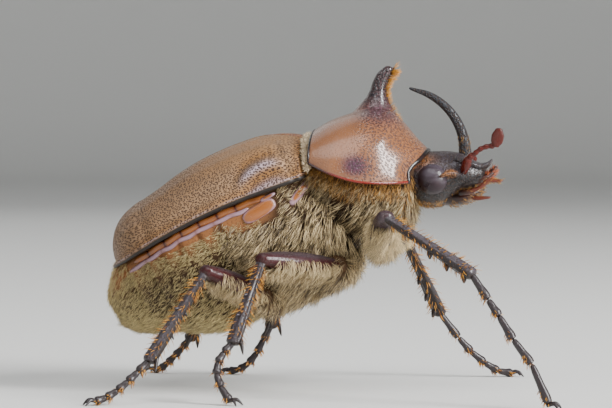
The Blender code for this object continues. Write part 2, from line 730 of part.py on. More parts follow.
def spike(points, radii, sides=5):
    """A curved claw, spur or tooth through its points, rounded at the tip."""
    form = Loft(tube_rows(points, radii), dome=(0, radii[-1]))
    form.DOME_STEPS = 1
    return form.build("spike", len(points) + 1, sides)


def join(thing, others):
    """Fuses closed meshes into one surface."""
    return boolean(thing, "UNION", others)


def half_of(thing, side):
    """Keeps the half of a piece on one side of the mid-plane, less half of the suture."""
    low, high = (-60, -60, -60), (60, SUTURE, 60)
    if side < 0:
        low, high = (-60, -SUTURE, -60), (60, 60, 60)
    return boolean(thing, "DIFFERENCE", [box("half", low, high)])


def wing_case(side, forms):
    """One wing case: half of the dome, hollow over the body."""
    thing = half_of(forms["wings"].build("wing_case", 12, 32), side)
    return carve(thing, forms["trunk"], forms["scutellum"], sides=20, rings=12)


def pronotum(forms):
    """The thorax shield with the flared foot of its horn, hollow over the front of the thorax."""
    thing = forms["shield"].build("shield", 12, 28)
    join(thing, [horn_piece(forms, HORN_CUT, True)])
    return carve(thing, forms["core"], sides=18, rings=7)


def horn_piece(forms, height, below):
    """The part of the thorax horn below or above a level in the shield's frame."""
    thing = forms["horn"].build("horn", 12, 16)
    low, high = (-30, -30, height), (30, 30, 30)
    if not below:
        low, high = (-30, -30, -30), (30, 30, height)
    cutter = box("cutter", low, high)
    cutter.data.transform(Matrix.Translation(FORE_ORIGIN * MM) @ Matrix.Rotation(FORE_PITCH, 4, "Y"))
    return boolean(thing, "DIFFERENCE", [cutter])


def head(forms):
    """The head capsule with its front plate and the bars that run back across the eyes."""
    thing = forms["head"].build("head", 9, 16)
    join(thing, [forms["clypeus"].build("clypeus", 7, 12)])
    carve(thing, forms["shield"], forms["core"], sides=12, rings=5)
    carve(thing, forms["eye_right"], forms["eye_left"], sides=10, rings=3)
    return join(thing, [forms[f"canthus_{side}"].build("canthus", 6, 6) for side, _ in SIDES])


def eye_form(side):
    """A compound eye: nearly a ball, set into the side of the head."""
    x, y, z = EYE_CENTRE
    long, wide, high = EYE_RADII
    thin = 0.02
    rows = [(x - thin, y * side, z, wide, high, high), (x + thin, y * side, z, wide, high, high)]
    form = Loft(rows, None, (1, 0, 0), dome=(long, long))
    form.DOME_STEPS = 3
    return form


def mirrored(points, side):
    """The points of a left piece, moved to the given side."""
    return [(x, y * side, z) for x, y, z in points]


def feeler_forms(name):
    """The stalk of a feeler and the leaves of its club."""
    feeler = FEELERS[name]
    stalk = Loft(tube_rows(feeler["stalk"], STALK_RADII), dome=(0, 0.2))
    root, tip = (Vector(point) for point in feeler["club"])
    axis = tip - root
    across = axis.cross(Vector((1, 0, 0))).normalized()
    leaves = []
    for i in range(CLUB_LEAVES):
        fan = i - (CLUB_LEAVES - 1) / 2
        spots = [root + axis * t + across * fan * (0.22 + 0.3 * t) for t in (0.0, 0.3, 0.65, 1.0)]
        wide = [CLUB_WIDTH * share for share in (0.45, 0.95, 1.0, 0.6)]
        rows = [(*spot, CLUB_LEAF, w, w) for spot, w in zip(spots, wide)]
        leaves.append(Loft(rows, up=across.cross(axis), dome=(0.1, 0.25)))
    return stalk, leaves


def leg_nodes(name, leg, forms):
    """The four pieces of a leg, each cut clear of the one before it."""
    parts = forms["legs"][name]
    coxa = parts["coxa"].build("coxa", 4, 10)
    carve(coxa, forms["trunk"], forms["core"], sides=20, rings=12)
    femur = parts["femur"].build("femur", 7, 10)
    join(femur, thigh_locks(name, parts["femur"]))
    carve(femur, parts["coxa"], forms["trunk"], forms["core"], sides=12, rings=12)
    tibia = parts["tibia"].build("tibia", 6, 8)
    join(tibia, tibia_spikes(name, parts["tibia"]))
    carve(tibia, parts["femur"], sides=10, rings=5)
    foot = parts["foot"].build("foot", 11, 6)
    join(foot, claws(parts["foot"], leg))
    carve(foot, parts["tibia"], sides=8, rings=5)
    boolean(foot, "DIFFERENCE", [box("floor", (-60, -60, -FLOOR_CUT), (60, 60, 0))])
    return {"coxa": coxa, "femur": femur, "tibia": tibia, "tarsus": foot}


def tibia_spikes(name, form):
    """Teeth along the outer edge of a front tibia, or the paired spurs at the end of the others."""
    made = []
    if name.startswith("front"):
        for share in (0.55, 0.75, 0.95):
            place = share * form.length
            spot, out = form.point(place, -math.pi / 2), form.normal(place, -math.pi / 2)
            lean = (out + 0.6 * form.axes(place)[0]).normalized()
            tip = spot + lean * TOOTH_LENGTH
            made.append(spike([spot - lean * 0.35, tip], (TOOTH_RADIUS, 0.14)))
        return made
    for angle in (-0.6, -2.5):
        place = form.length * 0.97
        spot, out = form.point(place, angle), form.normal(place, angle)
        lean = (0.5 * out + form.axes(place)[0]).normalized()
        made.append(spike([spot - lean * 0.4, spot + lean * SPUR_LENGTH], (SPUR_RADIUS, 0.1)))
    return made


def claws(form, leg):
    """The two claws that spread from the end of a foot and come down to the floor."""
    start = Vector(form.sample(form.length)[:3])
    ahead = form.axes(form.length)[0]
    ahead = Vector((ahead.x, ahead.y, 0)).normalized()
    made = []
    for turn in (-CLAW_SPREAD, CLAW_SPREAD):
        way = Matrix.Rotation(turn, 3, "Z") @ ahead
        rise = Vector((0, 0, 0.12))
        middle = start + way * CLAW_LENGTH * 0.55 + rise
        tip = Vector((*(start + way * CLAW_LENGTH).xy, 0.08))
        made.append(spike([start - ahead * 0.25, middle, tip], (CLAW_RADIUS, CLAW_RADIUS, 0.1)))
    return made


def finish(thing, name, finish_name):
    """Names a piece, shades it smooth and gives it its own finish."""
    thing.name = thing.data.name = name
    thing.data.transform(Matrix.Translation(STANCE * MM))
    thing.data.shade_smooth()
    thing.data.set_sharp_from_angle(angle=SHARP)
    thing.data.materials.clear()
    thing.data.materials.append(make_material(name, finish_name))


def trunk_nodes(forms):
    """The hind body in three pieces: thorax, abdomen and tail plate."""
    trunk = forms["trunk"]
    chest = trunk.build("chest", 9, 24, 0.0, (0.0, TRUNK_CHEST))
    join(chest, body_locks("metasternum", forms))
    carve(chest, forms["core"], forms["shield"], sides=20, rings=8)
    belly = trunk.build("belly", 8, 24, 0.0, (TRUNK_CHEST + GAP, TRUNK_BELLY))
    tail = trunk.build("tail", 4, 24, 0.0, (TRUNK_BELLY + GAP, trunk.length))
    return chest, belly, tail


def mouth_nodes(forms):
    """The jaws, palps and lower lip, each cut clear of the head and of the piece before it."""
    made = {}
    rows = [(*spot, wide, deep, deep) for spot, wide, deep in zip(LIP, LIP_WIDTHS, LIP_DEPTHS)]
    lip = Loft(rows, dome=(0, 0.3))
    piece = lip.build("lip", 5, 10)
    palps = [Loft(tube_rows(mirrored(LIP_PALP, side), LIP_PALP_RADII), dome=(0, 0.15)) for _, side in SIDES]
    join(piece, [palp.build("lip_palp", 4, 6) for palp in palps])
    carve(piece, forms["head"], sides=18, rings=10)
    made["labium"] = piece
    for name, side in SIDES:
        palp = Loft(tube_rows(mirrored(PALP, side), PALP_RADII), dome=(0, 0.15))
        piece = palp.build("palp", 7, 6)
        carve(piece, forms["head"], lip, sides=16, rings=10)
        made[f"palp_{name}"] = piece
        jaw = Loft(tube_rows(mirrored(JAW, side), JAW_RADII, 0.7), dome=(0, 0.2))
        piece = jaw.build("jaw", 6, 8)
        carve(piece, forms["head"], forms["clypeus"], lip, palp, sides=16, rings=10)
        made[f"mandible_{name}"] = piece
    return made


def clear_scene():
    """Removes the objects of the scene."""
    for thing in list(bpy.data.objects):
        bpy.data.objects.remove(thing)


def build_shells(forms):
    """The wing cases, the small plate between them, the thorax shield and its horn."""
    for name, side in SIDES:
        finish(wing_case(side, forms), f"elytron_{name}", "wing_case")
    scutellum = forms["scutellum"].build("scutellum", 5, 12)
    finish(carve(scutellum, forms["trunk"], sides=20, rings=12), "scutellum", "shield")
    finish(pronotum(forms), "pronotum", "shield")
    horn = horn_piece(forms, HORN_CUT + GAP, False)
    finish(join(horn, horn_locks(forms["horn"])), "thoracic_horn", "horn")


def build_head(forms):
    """The head with its horn, eyes, feelers and mouthparts."""
    finish(head(forms), "head", "head")
    horn = carve(forms["head_horn"].build("head_horn", 11, 8), forms["head"], sides=22, rings=12)
    finish(horn, "head_horn", "horn")
    for name, _ in SIDES:
        eye = carve(forms[f"eye_{name}"].build("eye", 3, 14), forms[f"canthus_{name}"], sides=6, rings=6)
        finish(eye, f"eye_{name}", "eye")
        stalk, leaves = feeler_forms(name)
        piece = carve(stalk.build("stalk", 13, 6), forms["head"], forms["clypeus"], sides=16, rings=10)
        finish(piece, f"antenna_{name}", "feeler")
        club = leaves[0].build("club", 4, 6)
        join(club, [leaf.build("leaf", 4, 6) for leaf in leaves[1:]])
        finish(carve(club, stalk, sides=6, rings=10), f"antenna_club_{name}", "feeler")
    for name, piece in mouth_nodes(forms).items():
        finish(piece, name, "mouthpart")


def build_body(forms):
    """The four pieces of the body under the shells."""
    breast = forms["core"].build("breast", 7, 20)
    finish(join(breast, body_locks("prosternum", forms)), "prosternum", "hairy_skin")
    for name, piece in zip(("metasternum", "abdomen", "pygidium"), trunk_nodes(forms)):
        finish(piece, name, "hairy_skin")


def build_legs(forms):
    """The four pieces of each leg."""
    for leg_name, leg in LEGS.items():
        for part, piece in leg_nodes(leg_name, leg, forms).items():
            finish(piece, f"{part}_{leg_name}", "leg")


def main():
    """Builds the whole beetle."""
    clear_scene()
    forms = make_forms()
    build_shells(forms)
    build_head(forms)
    build_body(forms)
    build_legs(forms)


main()
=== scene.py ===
"""A rhinoceros beetle at life size: finished shells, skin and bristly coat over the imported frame.

Sizes are in millimetres in the beetle's own frame: +X ahead, +Y to its left, +Z up, floor at z = 0.
Every form is a loft through rows of sizes; shells are grids wrapped onto those lofts.
"""

import logging
import math
from collections.abc import Callable, Sequence
from dataclasses import dataclass, field
from enum import Enum
from functools import cache
from typing import Any

import bpy
import numpy as np
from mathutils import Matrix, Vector


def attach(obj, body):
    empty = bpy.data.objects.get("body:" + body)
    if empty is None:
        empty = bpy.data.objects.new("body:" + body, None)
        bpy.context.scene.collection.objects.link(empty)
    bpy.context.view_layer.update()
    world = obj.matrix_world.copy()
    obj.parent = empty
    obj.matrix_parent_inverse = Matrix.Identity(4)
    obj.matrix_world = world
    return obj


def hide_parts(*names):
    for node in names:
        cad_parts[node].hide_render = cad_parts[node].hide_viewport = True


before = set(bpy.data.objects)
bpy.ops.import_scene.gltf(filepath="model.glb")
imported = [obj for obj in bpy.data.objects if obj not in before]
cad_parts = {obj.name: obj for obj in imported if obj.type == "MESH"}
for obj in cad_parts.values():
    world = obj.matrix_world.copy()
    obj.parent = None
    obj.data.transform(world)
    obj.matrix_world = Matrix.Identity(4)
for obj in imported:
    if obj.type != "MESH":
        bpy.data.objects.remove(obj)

MM = 0.001
STANCE = np.array((-1.84, -0.04, 0.0))  # moves the sizes below so that the origin is under the stance
SEED = 11
THIRDS = (0.0, 2.0944, 4.1888)  # a turn in three steps
SHEET = 20.0  # mm of surface across a whole UV map
Array = np.ndarray
Chance = np.random.Generator
Node = bpy.types.Node
Socket = bpy.types.NodeSocket
Thing = bpy.types.Object
Numbers = float | Sequence[float] | Array
Value = float | tuple | Socket
Surface = Callable[[Array, Array], Array]
log = logging.getLogger("beetle")


class Side(Enum):
    """The two sides of the beetle, each with the sign of its y."""

    RIGHT = -1.0
    LEFT = 1.0

    @property
    def word(self) -> str:
        """The side's name as the nodes write it."""
        return self.name.lower()


def unit(vectors: Array) -> Array:
    """Vectors scaled to length one."""
    return vectors / np.maximum(np.linalg.norm(vectors, axis=-1, keepdims=True), 1e-12)


def ease(values: Array, low: float, high: float) -> Array:
    """A smooth step from 0 at low to 1 at high."""
    t = np.clip((values - low) / (high - low), 0.0, 1.0)
    return t * t * (3.0 - 2.0 * t)


def blunt(values: Array, power: float) -> Array:
    """Values raised to a power, their signs kept."""
    return np.sign(values) * abs(values) ** power


def bell(values: Array, middle: float, width: float) -> Array:
    """A bell curve: 1 at the middle, 0.37 at the width away from it."""
    return np.exp(-(((values - middle) / width) ** 2))


@dataclass(frozen=True)
class Placement:
    """Where a form's own frame lies: its origin and the columns of its axes."""

    origin: Array
    axes: Array

    def out(self, points: Array) -> Array:
        """Moves points from the form's frame to the beetle's."""
        return points @ self.axes.T + self.origin

    def into(self, points: Array) -> Array:
        """Moves points from the beetle's frame to the form's."""
        return (points - self.origin) @ self.axes


def tilted(origin: tuple, degrees: float, backward: bool) -> Placement:
    """A frame whose x axis runs along the body, ahead and down or back and down.

    Args:
        origin: its origin in the beetle's frame.
        degrees: how far the x axis points below the level.
        backward: whether x runs towards the tail.

    Returns:
        The placement.
    """
    turn = math.radians(degrees)
    way = -1.0 if backward else 1.0
    along = np.array((way * math.cos(turn), 0.0, -math.sin(turn)))
    up = np.array((way * math.sin(turn), 0.0, math.cos(turn)))
    return Placement(np.array(origin), np.column_stack((along, (0.0, 1.0, 0.0), up)))


LEVEL = Placement(np.zeros(3), np.eye(3))
HIND = tilted((-1.3, 0.0, 23.55), 25.4, True)
FORE = tilted((-0.3, 0.0, 24.9), 10.5, False)


@dataclass
class Loft:
    """A rounded form swept through rows of (x, y, z, half width, height, depth).

    Angle 0 is the left flank and a quarter turn the top. Each end is rounded off over its length in
    domes. With ahead set every ring faces that way; otherwise rings face along the spine. The shelf draws
    in the upper half, and the warp moves points of the form's own frame.
    """

    rows: Sequence[Sequence[float]]
    place: Placement = LEVEL
    ahead: tuple | None = None
    up: tuple = (0.0, 0.0, 1.0)
    power: float = 2.0
    domes: tuple = (0.05, 0.05)
    shelf: float = 0.0
    warp: Callable[[Array], Array] | None = None
    stations: Array = field(init=False)
    slopes: Array = field(init=False)
    length: float = field(init=False)

    def __post_init__(self) -> None:
        """Works out the stations along the spine and the slopes of the cubic through the rows."""
        self.rows = np.array(self.rows, float)
        steps = np.linalg.norm(np.diff(self.rows[:, :3], axis=0), axis=1)
        self.stations = np.concatenate(([0.0], np.cumsum(steps)))
        self.length = float(self.stations[-1])
        self.slopes = np.hstack((self._slopes(0, 3, False), self._slopes(3, 6, True)))

    def _slopes(self, first: int, last: int, level: bool) -> Array:
        """Slopes of some columns of the rows.

        Args:
            first: the first column.
            last: the column after the last.
            level: whether the cubic must not overshoot its rows.

        Returns:
            One slope per row and column.
        """
        steps = np.diff(self.stations)[:, None]
        rises = np.diff(self.rows[:, first:last], axis=0) / steps
        inner = (rises[:-1] * steps[1:] + rises[1:] * steps[:-1]) / (steps[1:] + steps[:-1])
        if level:
            inner[rises[:-1] * rises[1:] <= 0] = 0.0
            most = 3.0 * np.minimum(abs(rises[:-1]), abs(rises[1:]))
            inner = np.clip(inner, -most, most)
        return np.vstack((rises[:1], inner, rises[-1:]))

    def sample(self, place: Array) -> Array:
        """The rows' values at lengths along the spine.

        Args:
            place: lengths from the first row.

        Returns:
            An array of six values for each length.
        """
        place = np.clip(np.atleast_1d(np.asarray(place, float)), 0.0, self.length)
        i = np.clip(np.searchsorted(self.stations, place, side="right") - 1, 0, len(self.rows) - 2)
        step = (self.stations[i + 1] - self.stations[i])[:, None]
        t = (place - self.stations[i])[:, None] / step
        return (
            (2 * t**3 - 3 * t**2 + 1) * self.rows[i]
            + (t**3 - 2 * t**2 + t) * step * self.slopes[i]
            + (3 * t**2 - 2 * t**3) * self.rows[i + 1]
            + (t**3 - t**2) * step * self.slopes[i + 1]
        )

    def compass(self, place: Array) -> tuple[Array, Array, Array]:
        """The directions of the rings.

        Args:
            place: lengths from the first row.

        Returns:
            Unit vectors ahead, to the left and up, one of each per length.
        """
        place = np.atleast_1d(np.asarray(place, float))
        if self.ahead is not None:
            ahead = np.tile(unit(np.array(self.ahead, float)), (len(place), 1))
        else:
            reach = 0.01 * self.length
            ahead = unit(self.sample(place + reach)[:, :3] - self.sample(place - reach)[:, :3])
        left = unit(np.cross(np.array(self.up, float), ahead))
        return ahead, left, np.cross(ahead, left)

    def skin(
        self, place: Numbers, angle: Numbers, grow: float = 0.0, scale: Numbers = 1.0, shift: Numbers = 0.0
    ) -> Array:
        """Points of the skin.

        Args:
            place: lengths along the spine.
            angle: angles round the form in radians.
            grow: how far the skin moves outwards.
            scale: how much a ring shrinks, for the rounded ends.
            shift: how far a ring moves ahead, for the rounded ends.

        Returns:
            Points in the beetle's frame.
        """
        place, angle = np.broadcast_arrays(np.atleast_1d(np.asarray(place, float)), angle)
        values = self.sample(place)
        ahead, left, up = self.compass(place)
        across, rise = np.cos(angle), np.sin(angle)
        wide = values[:, 3] + grow - self.shelf * ease(rise, 0.0, 0.15)
        tall = np.where(rise > 0, values[:, 4], values[:, 5]) + grow
        bulge = 2.0 / self.power
        sideways, upward = blunt(across, bulge) * wide * scale, blunt(rise, bulge) * tall * scale
        ahead = ahead * np.reshape(shift, (-1, 1))
        local = values[:, :3] + ahead + left * sideways[:, None] + up * upward[:, None]
        return self.place.out(self.warp(local) if self.warp else local)

    def at(self, run: Array, angle: Array) -> Array:
        """Points of the whole closed form.

        Args:
            run: lengths along the spine; those below 0 or past its length lie on the rounded ends.
            angle: angles round the form in radians.

        Returns:
            Points in the beetle's frame.
        """
        first, last = self.domes
        place = np.clip(run, 0.0, self.length)
        over = run - place
        turn = np.where(over < 0, -over / max(first, 1e-9), over / max(last, 1e-9)) * math.pi / 2
        shift = np.where(over < 0, -first, last) * np.sin(turn)
        return self.skin(place, angle, scale=np.cos(turn), shift=shift)

    def wrap(self, u: Array, v: Array) -> Array:
        """Points of the closed form at shares of the way along it and round it."""
        return self.at(u * (sum(self.domes) + self.length) - self.domes[0], math.tau * v)

    def outward(self, run: Array, angle: Array) -> Array:
        """Outward directions of the closed form.

        Args:
            run: lengths along the spine, rounded ends too.
            angle: angles round the form.

        Returns:
            Unit vectors.
        """
        first = np.where(run < 0, -0.97 * self.domes[0], 0.0)
        last = np.where(run > self.length, self.length + 0.97 * self.domes[1], self.length)
        low, high = (np.clip(run + reach * self.length, first, last) for reach in (-0.02, 0.02))
        along = self.at(high, angle) - self.at(low, angle)
        around = self.at(run, angle + 0.05) - self.at(run, angle - 0.05)
        across = unit(np.cross(around, along))
        centre = self.place.out(self.sample(run)[:, :3])
        facing = np.sum(across * (self.at(run, angle) - centre), axis=1, keepdims=True)
        return np.where(facing > 0, across, -across)


def tube(points: Sequence, radii: Sequence[float], flatness: float = 1.0, **more: Any) -> Loft:
    """A limb through points, with its radii spread evenly over them.

    Args:
        points: places along its middle.
        radii: its radii from root to tip.
        flatness: its height against its width.
        **more: further fields of the loft.

    Returns:
        The loft.
    """
    spots = np.linspace(0, len(radii) - 1, len(points))
    sizes = np.interp(spots, range(len(radii)), radii)
    rows = [(*spot, size, size * flatness, size * flatness) for spot, size in zip(points, sizes)]
    return Loft(rows, **more)


def mirrored(points: Sequence, sign: float) -> list[tuple[float, float, float]]:
    """The points of a left piece on the side with the given sign of y."""
    return [(x, y * sign, z) for x, y, z in points]


def spread(start: Sequence[float], end: Sequence[float], count: int) -> Array:
    """Evenly spaced points from start to end."""
    return np.linspace(np.array(start, float), np.array(end, float), count)


def lean_shoulders(points: Array) -> Array:
    """Leans the front of the wing cases forward with height.

    Args:
        points: places in the hind frame.

    Returns:
        The places moved.
    """
    moved = points.copy()
    x, _, z = moved.T
    fade = np.clip(1.0 - np.maximum(x, 0.0) / 6.0, 0.0, 1.0)
    x -= 0.3 * np.maximum(z, 0.0) * fade**2
    return moved


def lean_shield(points: Array) -> Array:
    """Leans the shield's front edge forward and its rear edge back with height.

    Args:
        points: places in the fore frame.

    Returns:
        The places moved.
    """
    moved = points.copy()
    x, y, z = moved.T
    share = np.clip((x - 7.5) / 3.5, 0.0, 1.0)
    rear = np.clip(1.0 - np.maximum(x, 0.0) / 3.0, 0.0, 1.0)
    notch = -0.85 * bell(z, 1.3, 1.25) * (share**2 * ease(abs(y), 1.0, 3.5) * ease(4.2 - z, 0.0, 1.0))
    x += (0.22 * share**2 - 0.18 * rear**2) * np.maximum(z, 0.0) + notch
    return moved


def bow(place: Array) -> Array:
    """How far the wing cases' margin arches above the hind frame's level, at lengths along it."""
    return 0.72 * np.sin(math.pi * np.clip(place / 21.0, 0.0, 1.0))


def around(side: Side, below: Array) -> Array:
    """A loft's angles for turns below the flank on one side."""
    return -below if side is Side.LEFT else math.pi + below


def body_rows(rows: Sequence) -> list[tuple[float, ...]]:
    """Loft rows from (place, level, half width, height, depth)."""
    return [(place, 0.0, level, wide, high, deep) for place, level, wide, high, deep in rows]


class Forge:
    """Makes and finishes mesh objects with Blender's own operators."""

    @staticmethod
    def rest() -> None:
        """Leaves edit mode and selects nothing."""
        if bpy.context.mode != "OBJECT":
            bpy.ops.object.mode_set(mode="OBJECT")
        bpy.ops.object.select_all(action="DESELECT")

    @staticmethod
    def pick(thing: Thing) -> None:
        """Selects one object alone and makes it active.

        Args:
            thing: the object.
        """
        Forge.rest()
        thing.select_set(True)
        bpy.context.view_layer.objects.active = thing

    @staticmethod
    def wrapped(name: str, along: int, around: int, surface: Surface, closed: bool = True) -> Thing:
        """A grid wrapped onto a surface, its seams merged and its faces turned out.

        Args:
            name: the object's name.
            along: faces along u.
            around: faces along v.
            surface: gives a point in mm for each u and v from 0 to 1.
            closed: whether the result is a closed body whose normals can be found.

        Returns:
            The new object.
        """
        Forge.rest()
        bpy.ops.mesh.primitive_grid_add(x_subdivisions=along, y_subdivisions=around, size=2.0)
        thing = bpy.context.active_object
        thing.name = thing.data.name = name
        flat = np.empty(len(thing.data.vertices) * 3, np.float64)
        thing.data.vertices.foreach_get("co", flat)
        flat = flat.reshape(-1, 3)
        u, v = np.clip((flat[:, 0] + 1) / 2, 0, 1), np.clip((flat[:, 1] + 1) / 2, 0, 1)
        points = (surface(u, v) + STANCE) * MM
        thing.data.vertices.foreach_set("co", points.astype(np.float32).ravel())
        thing.data.update()
        bpy.ops.object.mode_set(mode="EDIT")
        bpy.ops.mesh.select_all(action="SELECT")
        bpy.ops.mesh.remove_doubles(threshold=2e-6)
        if closed:
            bpy.ops.mesh.normals_make_consistent(inside=False)
        bpy.ops.object.mode_set(mode="OBJECT")
        return thing

    @staticmethod
    def joined(name: str, things: Sequence[Thing]) -> Thing:
        """Several objects as one, their shells kept apart.

        Args:
            name: the name of the result.
            things: the objects.

        Returns:
            The first object, which now holds them all.
        """
        Forge.pick(things[0])
        for thing in things[1:]:
            thing.select_set(True)
        if len(things) > 1:
            bpy.ops.object.join()
        things[0].name = things[0].data.name = name
        return things[0]

    @staticmethod
    def modified(thing: Thing, kind: str, **settings: Any) -> None:
        """Adds one modifier and applies it.

        Args:
            thing: the object.
            kind: the modifier's type.
            **settings: its values.
        """
        Forge.pick(thing)
        modifier = thing.modifiers.new(kind.title(), kind)
        for key, value in settings.items():
            setattr(modifier, key, value)
        bpy.ops.object.modifier_apply(modifier=modifier.name)

    @staticmethod
    def fused(thing: Thing, others: Sequence[Thing], voxel: float = 0.0) -> None:
        """Unites closed objects into one skin.

        Args:
            thing: the object that stays.
            others: the objects that it takes in.
            voxel: the size in mm of the faces of a skin made afresh, or 0 to keep the old one.
        """
        for other in others:
            Forge.modified(thing, "BOOLEAN", operation="UNION", solver="EXACT", object=other)
            bpy.data.objects.remove(other)
        if voxel:
            Forge.modified(thing, "REMESH", mode="VOXEL", voxel_size=voxel * MM)

    @staticmethod
    def points(thing: Thing) -> Array:
        """An object's vertices in mm in the beetle's frame.

        Args:
            thing: the object.

        Returns:
            One row of x, y and z for each vertex.
        """
        flat = np.empty(len(thing.data.vertices) * 3, np.float32)
        thing.data.vertices.foreach_get("co", flat)
        return flat.reshape(-1, 3).astype(float) / MM - STANCE

    @staticmethod
    def move(thing: Thing, points: Array) -> None:
        """Sets an object's vertices from points in mm in the beetle's frame."""
        thing.data.vertices.foreach_set("co", ((points + STANCE) * MM).astype(np.float32).ravel())
        thing.data.update()

    @staticmethod
    def mark(thing: Thing, **values: Array | float) -> None:
        """Stores a number per vertex under each name, for the finishes to read.

        Args:
            thing: the object.
            **values: one number, or one per vertex, under each name.
        """
        count = len(thing.data.vertices)
        for name, numbers in values.items():
            layer = thing.data.attributes.get(name) or thing.data.attributes.new(name, "FLOAT", "POINT")
            layer.data.foreach_set("value", np.broadcast_to(numbers, count).astype(np.float32))

    @staticmethod
    def unwrap(thing: Thing, places: Array) -> None:
        """Gives a piece a UV map that follows its surface.

        Args:
            thing: the object.
            places: the place of each vertex on the map.
        """
        corners = np.empty(len(thing.data.loops), np.int32)
        thing.data.loops.foreach_get("vertex_index", corners)
        while thing.data.uv_layers:
            thing.data.uv_layers.remove(thing.data.uv_layers[0])
        uv = places[corners].astype(np.float32).ravel()
        thing.data.uv_layers.new(name="UVMap").data.foreach_set("uv", uv)

    @staticmethod
    def done(
        thing: Thing, finish: "Finish", slot_name: str, nodes: Sequence[str] = (), sharp: float = 50.0,
        **marks: Array | float,
    ) -> None:
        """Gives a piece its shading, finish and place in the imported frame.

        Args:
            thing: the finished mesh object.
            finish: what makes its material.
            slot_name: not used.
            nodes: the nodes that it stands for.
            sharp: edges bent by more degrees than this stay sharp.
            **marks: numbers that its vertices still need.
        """
        Forge.mark(thing, **marks)
        Forge.pick(thing)
        bpy.ops.object.shade_smooth_by_angle(angle=math.radians(sharp))
        thing.data.materials.clear()
        Forge.placed(thing, finish, slot_name)
        if nodes:
            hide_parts(*nodes)

    @staticmethod
    def placed(thing: Thing, finish: "Finish", slot_name: str) -> None:
        """Gives a piece its material and its body.

        Args:
            thing: the mesh object.
            finish: what makes its material.
            slot_name: not used.
        """
        thing.data.materials.append(finish.material())
        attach(thing, "root")
        log.info("%s: %d faces", thing.name, len(thing.data.polygons))


class Board:
    """A node tree with short calls that add and join its nodes."""

    def __init__(self, tree: bpy.types.NodeTree) -> None:
        """Takes the tree that it works on."""
        self.tree = tree

    def add(self, kind: str, inputs: dict | None = None, **settings: Any) -> Node:
        """Adds a node, sets its properties and fills or joins its inputs.

        Args:
            kind: the node's type.
            inputs: an output socket or a value for each input, by name or number.
            **settings: the node's own properties.

        Returns:
            The node.
        """
        node = self.tree.nodes.new(kind)
        for key, value in settings.items():
            setattr(node, key, value)
        for key, value in (inputs or {}).items():
            if isinstance(value, Socket):
                self.join(value, node.inputs[key])
            else:
                node.inputs[key].default_value = value
        return node

    def join(self, source: Socket, target: Socket) -> None:
        """Links an output to an input."""
        self.tree.links.new(source, target)

    def maths(self, operation: str, *values: Value) -> Socket:
        """The result of a sum of sockets and numbers."""
        return self.add("ShaderNodeMath", dict(enumerate(values)), operation=operation).outputs[0]

    def plus(self, one: Value, two: Value) -> Socket:
        """Two sockets or numbers added."""
        return self.maths("ADD", one, two)

    def times(self, one: Value, two: Value) -> Socket:
        """Two sockets or numbers multiplied."""
        return self.maths("MULTIPLY", one, two)

    def blend(self, factor: Value, one: Value, two: Value, kind: str = "MIX") -> Socket:
        """A colour between two others.

        Args:
            factor: how much of the second.
            one: the first colour or socket.
            two: the second colour or socket.
            kind: how they combine.

        Returns:
            The colour's socket.
        """
        inputs = {
            key: (*value, 1.0) if isinstance(value, tuple) else value
            for key, value in zip((0, 6, 7), (factor, one, two))
        }
        return self.add("ShaderNodeMix", inputs, data_type="RGBA", blend_type=kind).outputs[2]

    def group(self, tree: bpy.types.NodeTree, **inputs: Value) -> Socket:
        """The first output of a node group, with values or sockets for its inputs."""
        return self.add("ShaderNodeGroup", inputs, node_tree=tree).outputs[0]

    def toned(self, more: Value, first: tuple, second: tuple) -> Socket:
        """The colour between two that the piece's tone picks, with more added to the tone."""
        tone = self.plus(self.number("tone"), more)
        return self.blend(self.add("ShaderNodeClamp", {"Value": tone}).outputs[0], first, second)

    def number(self, name: str) -> Socket:
        """A stored number per vertex."""
        return self.add("ShaderNodeAttribute", attribute_name=name).outputs["Fac"]


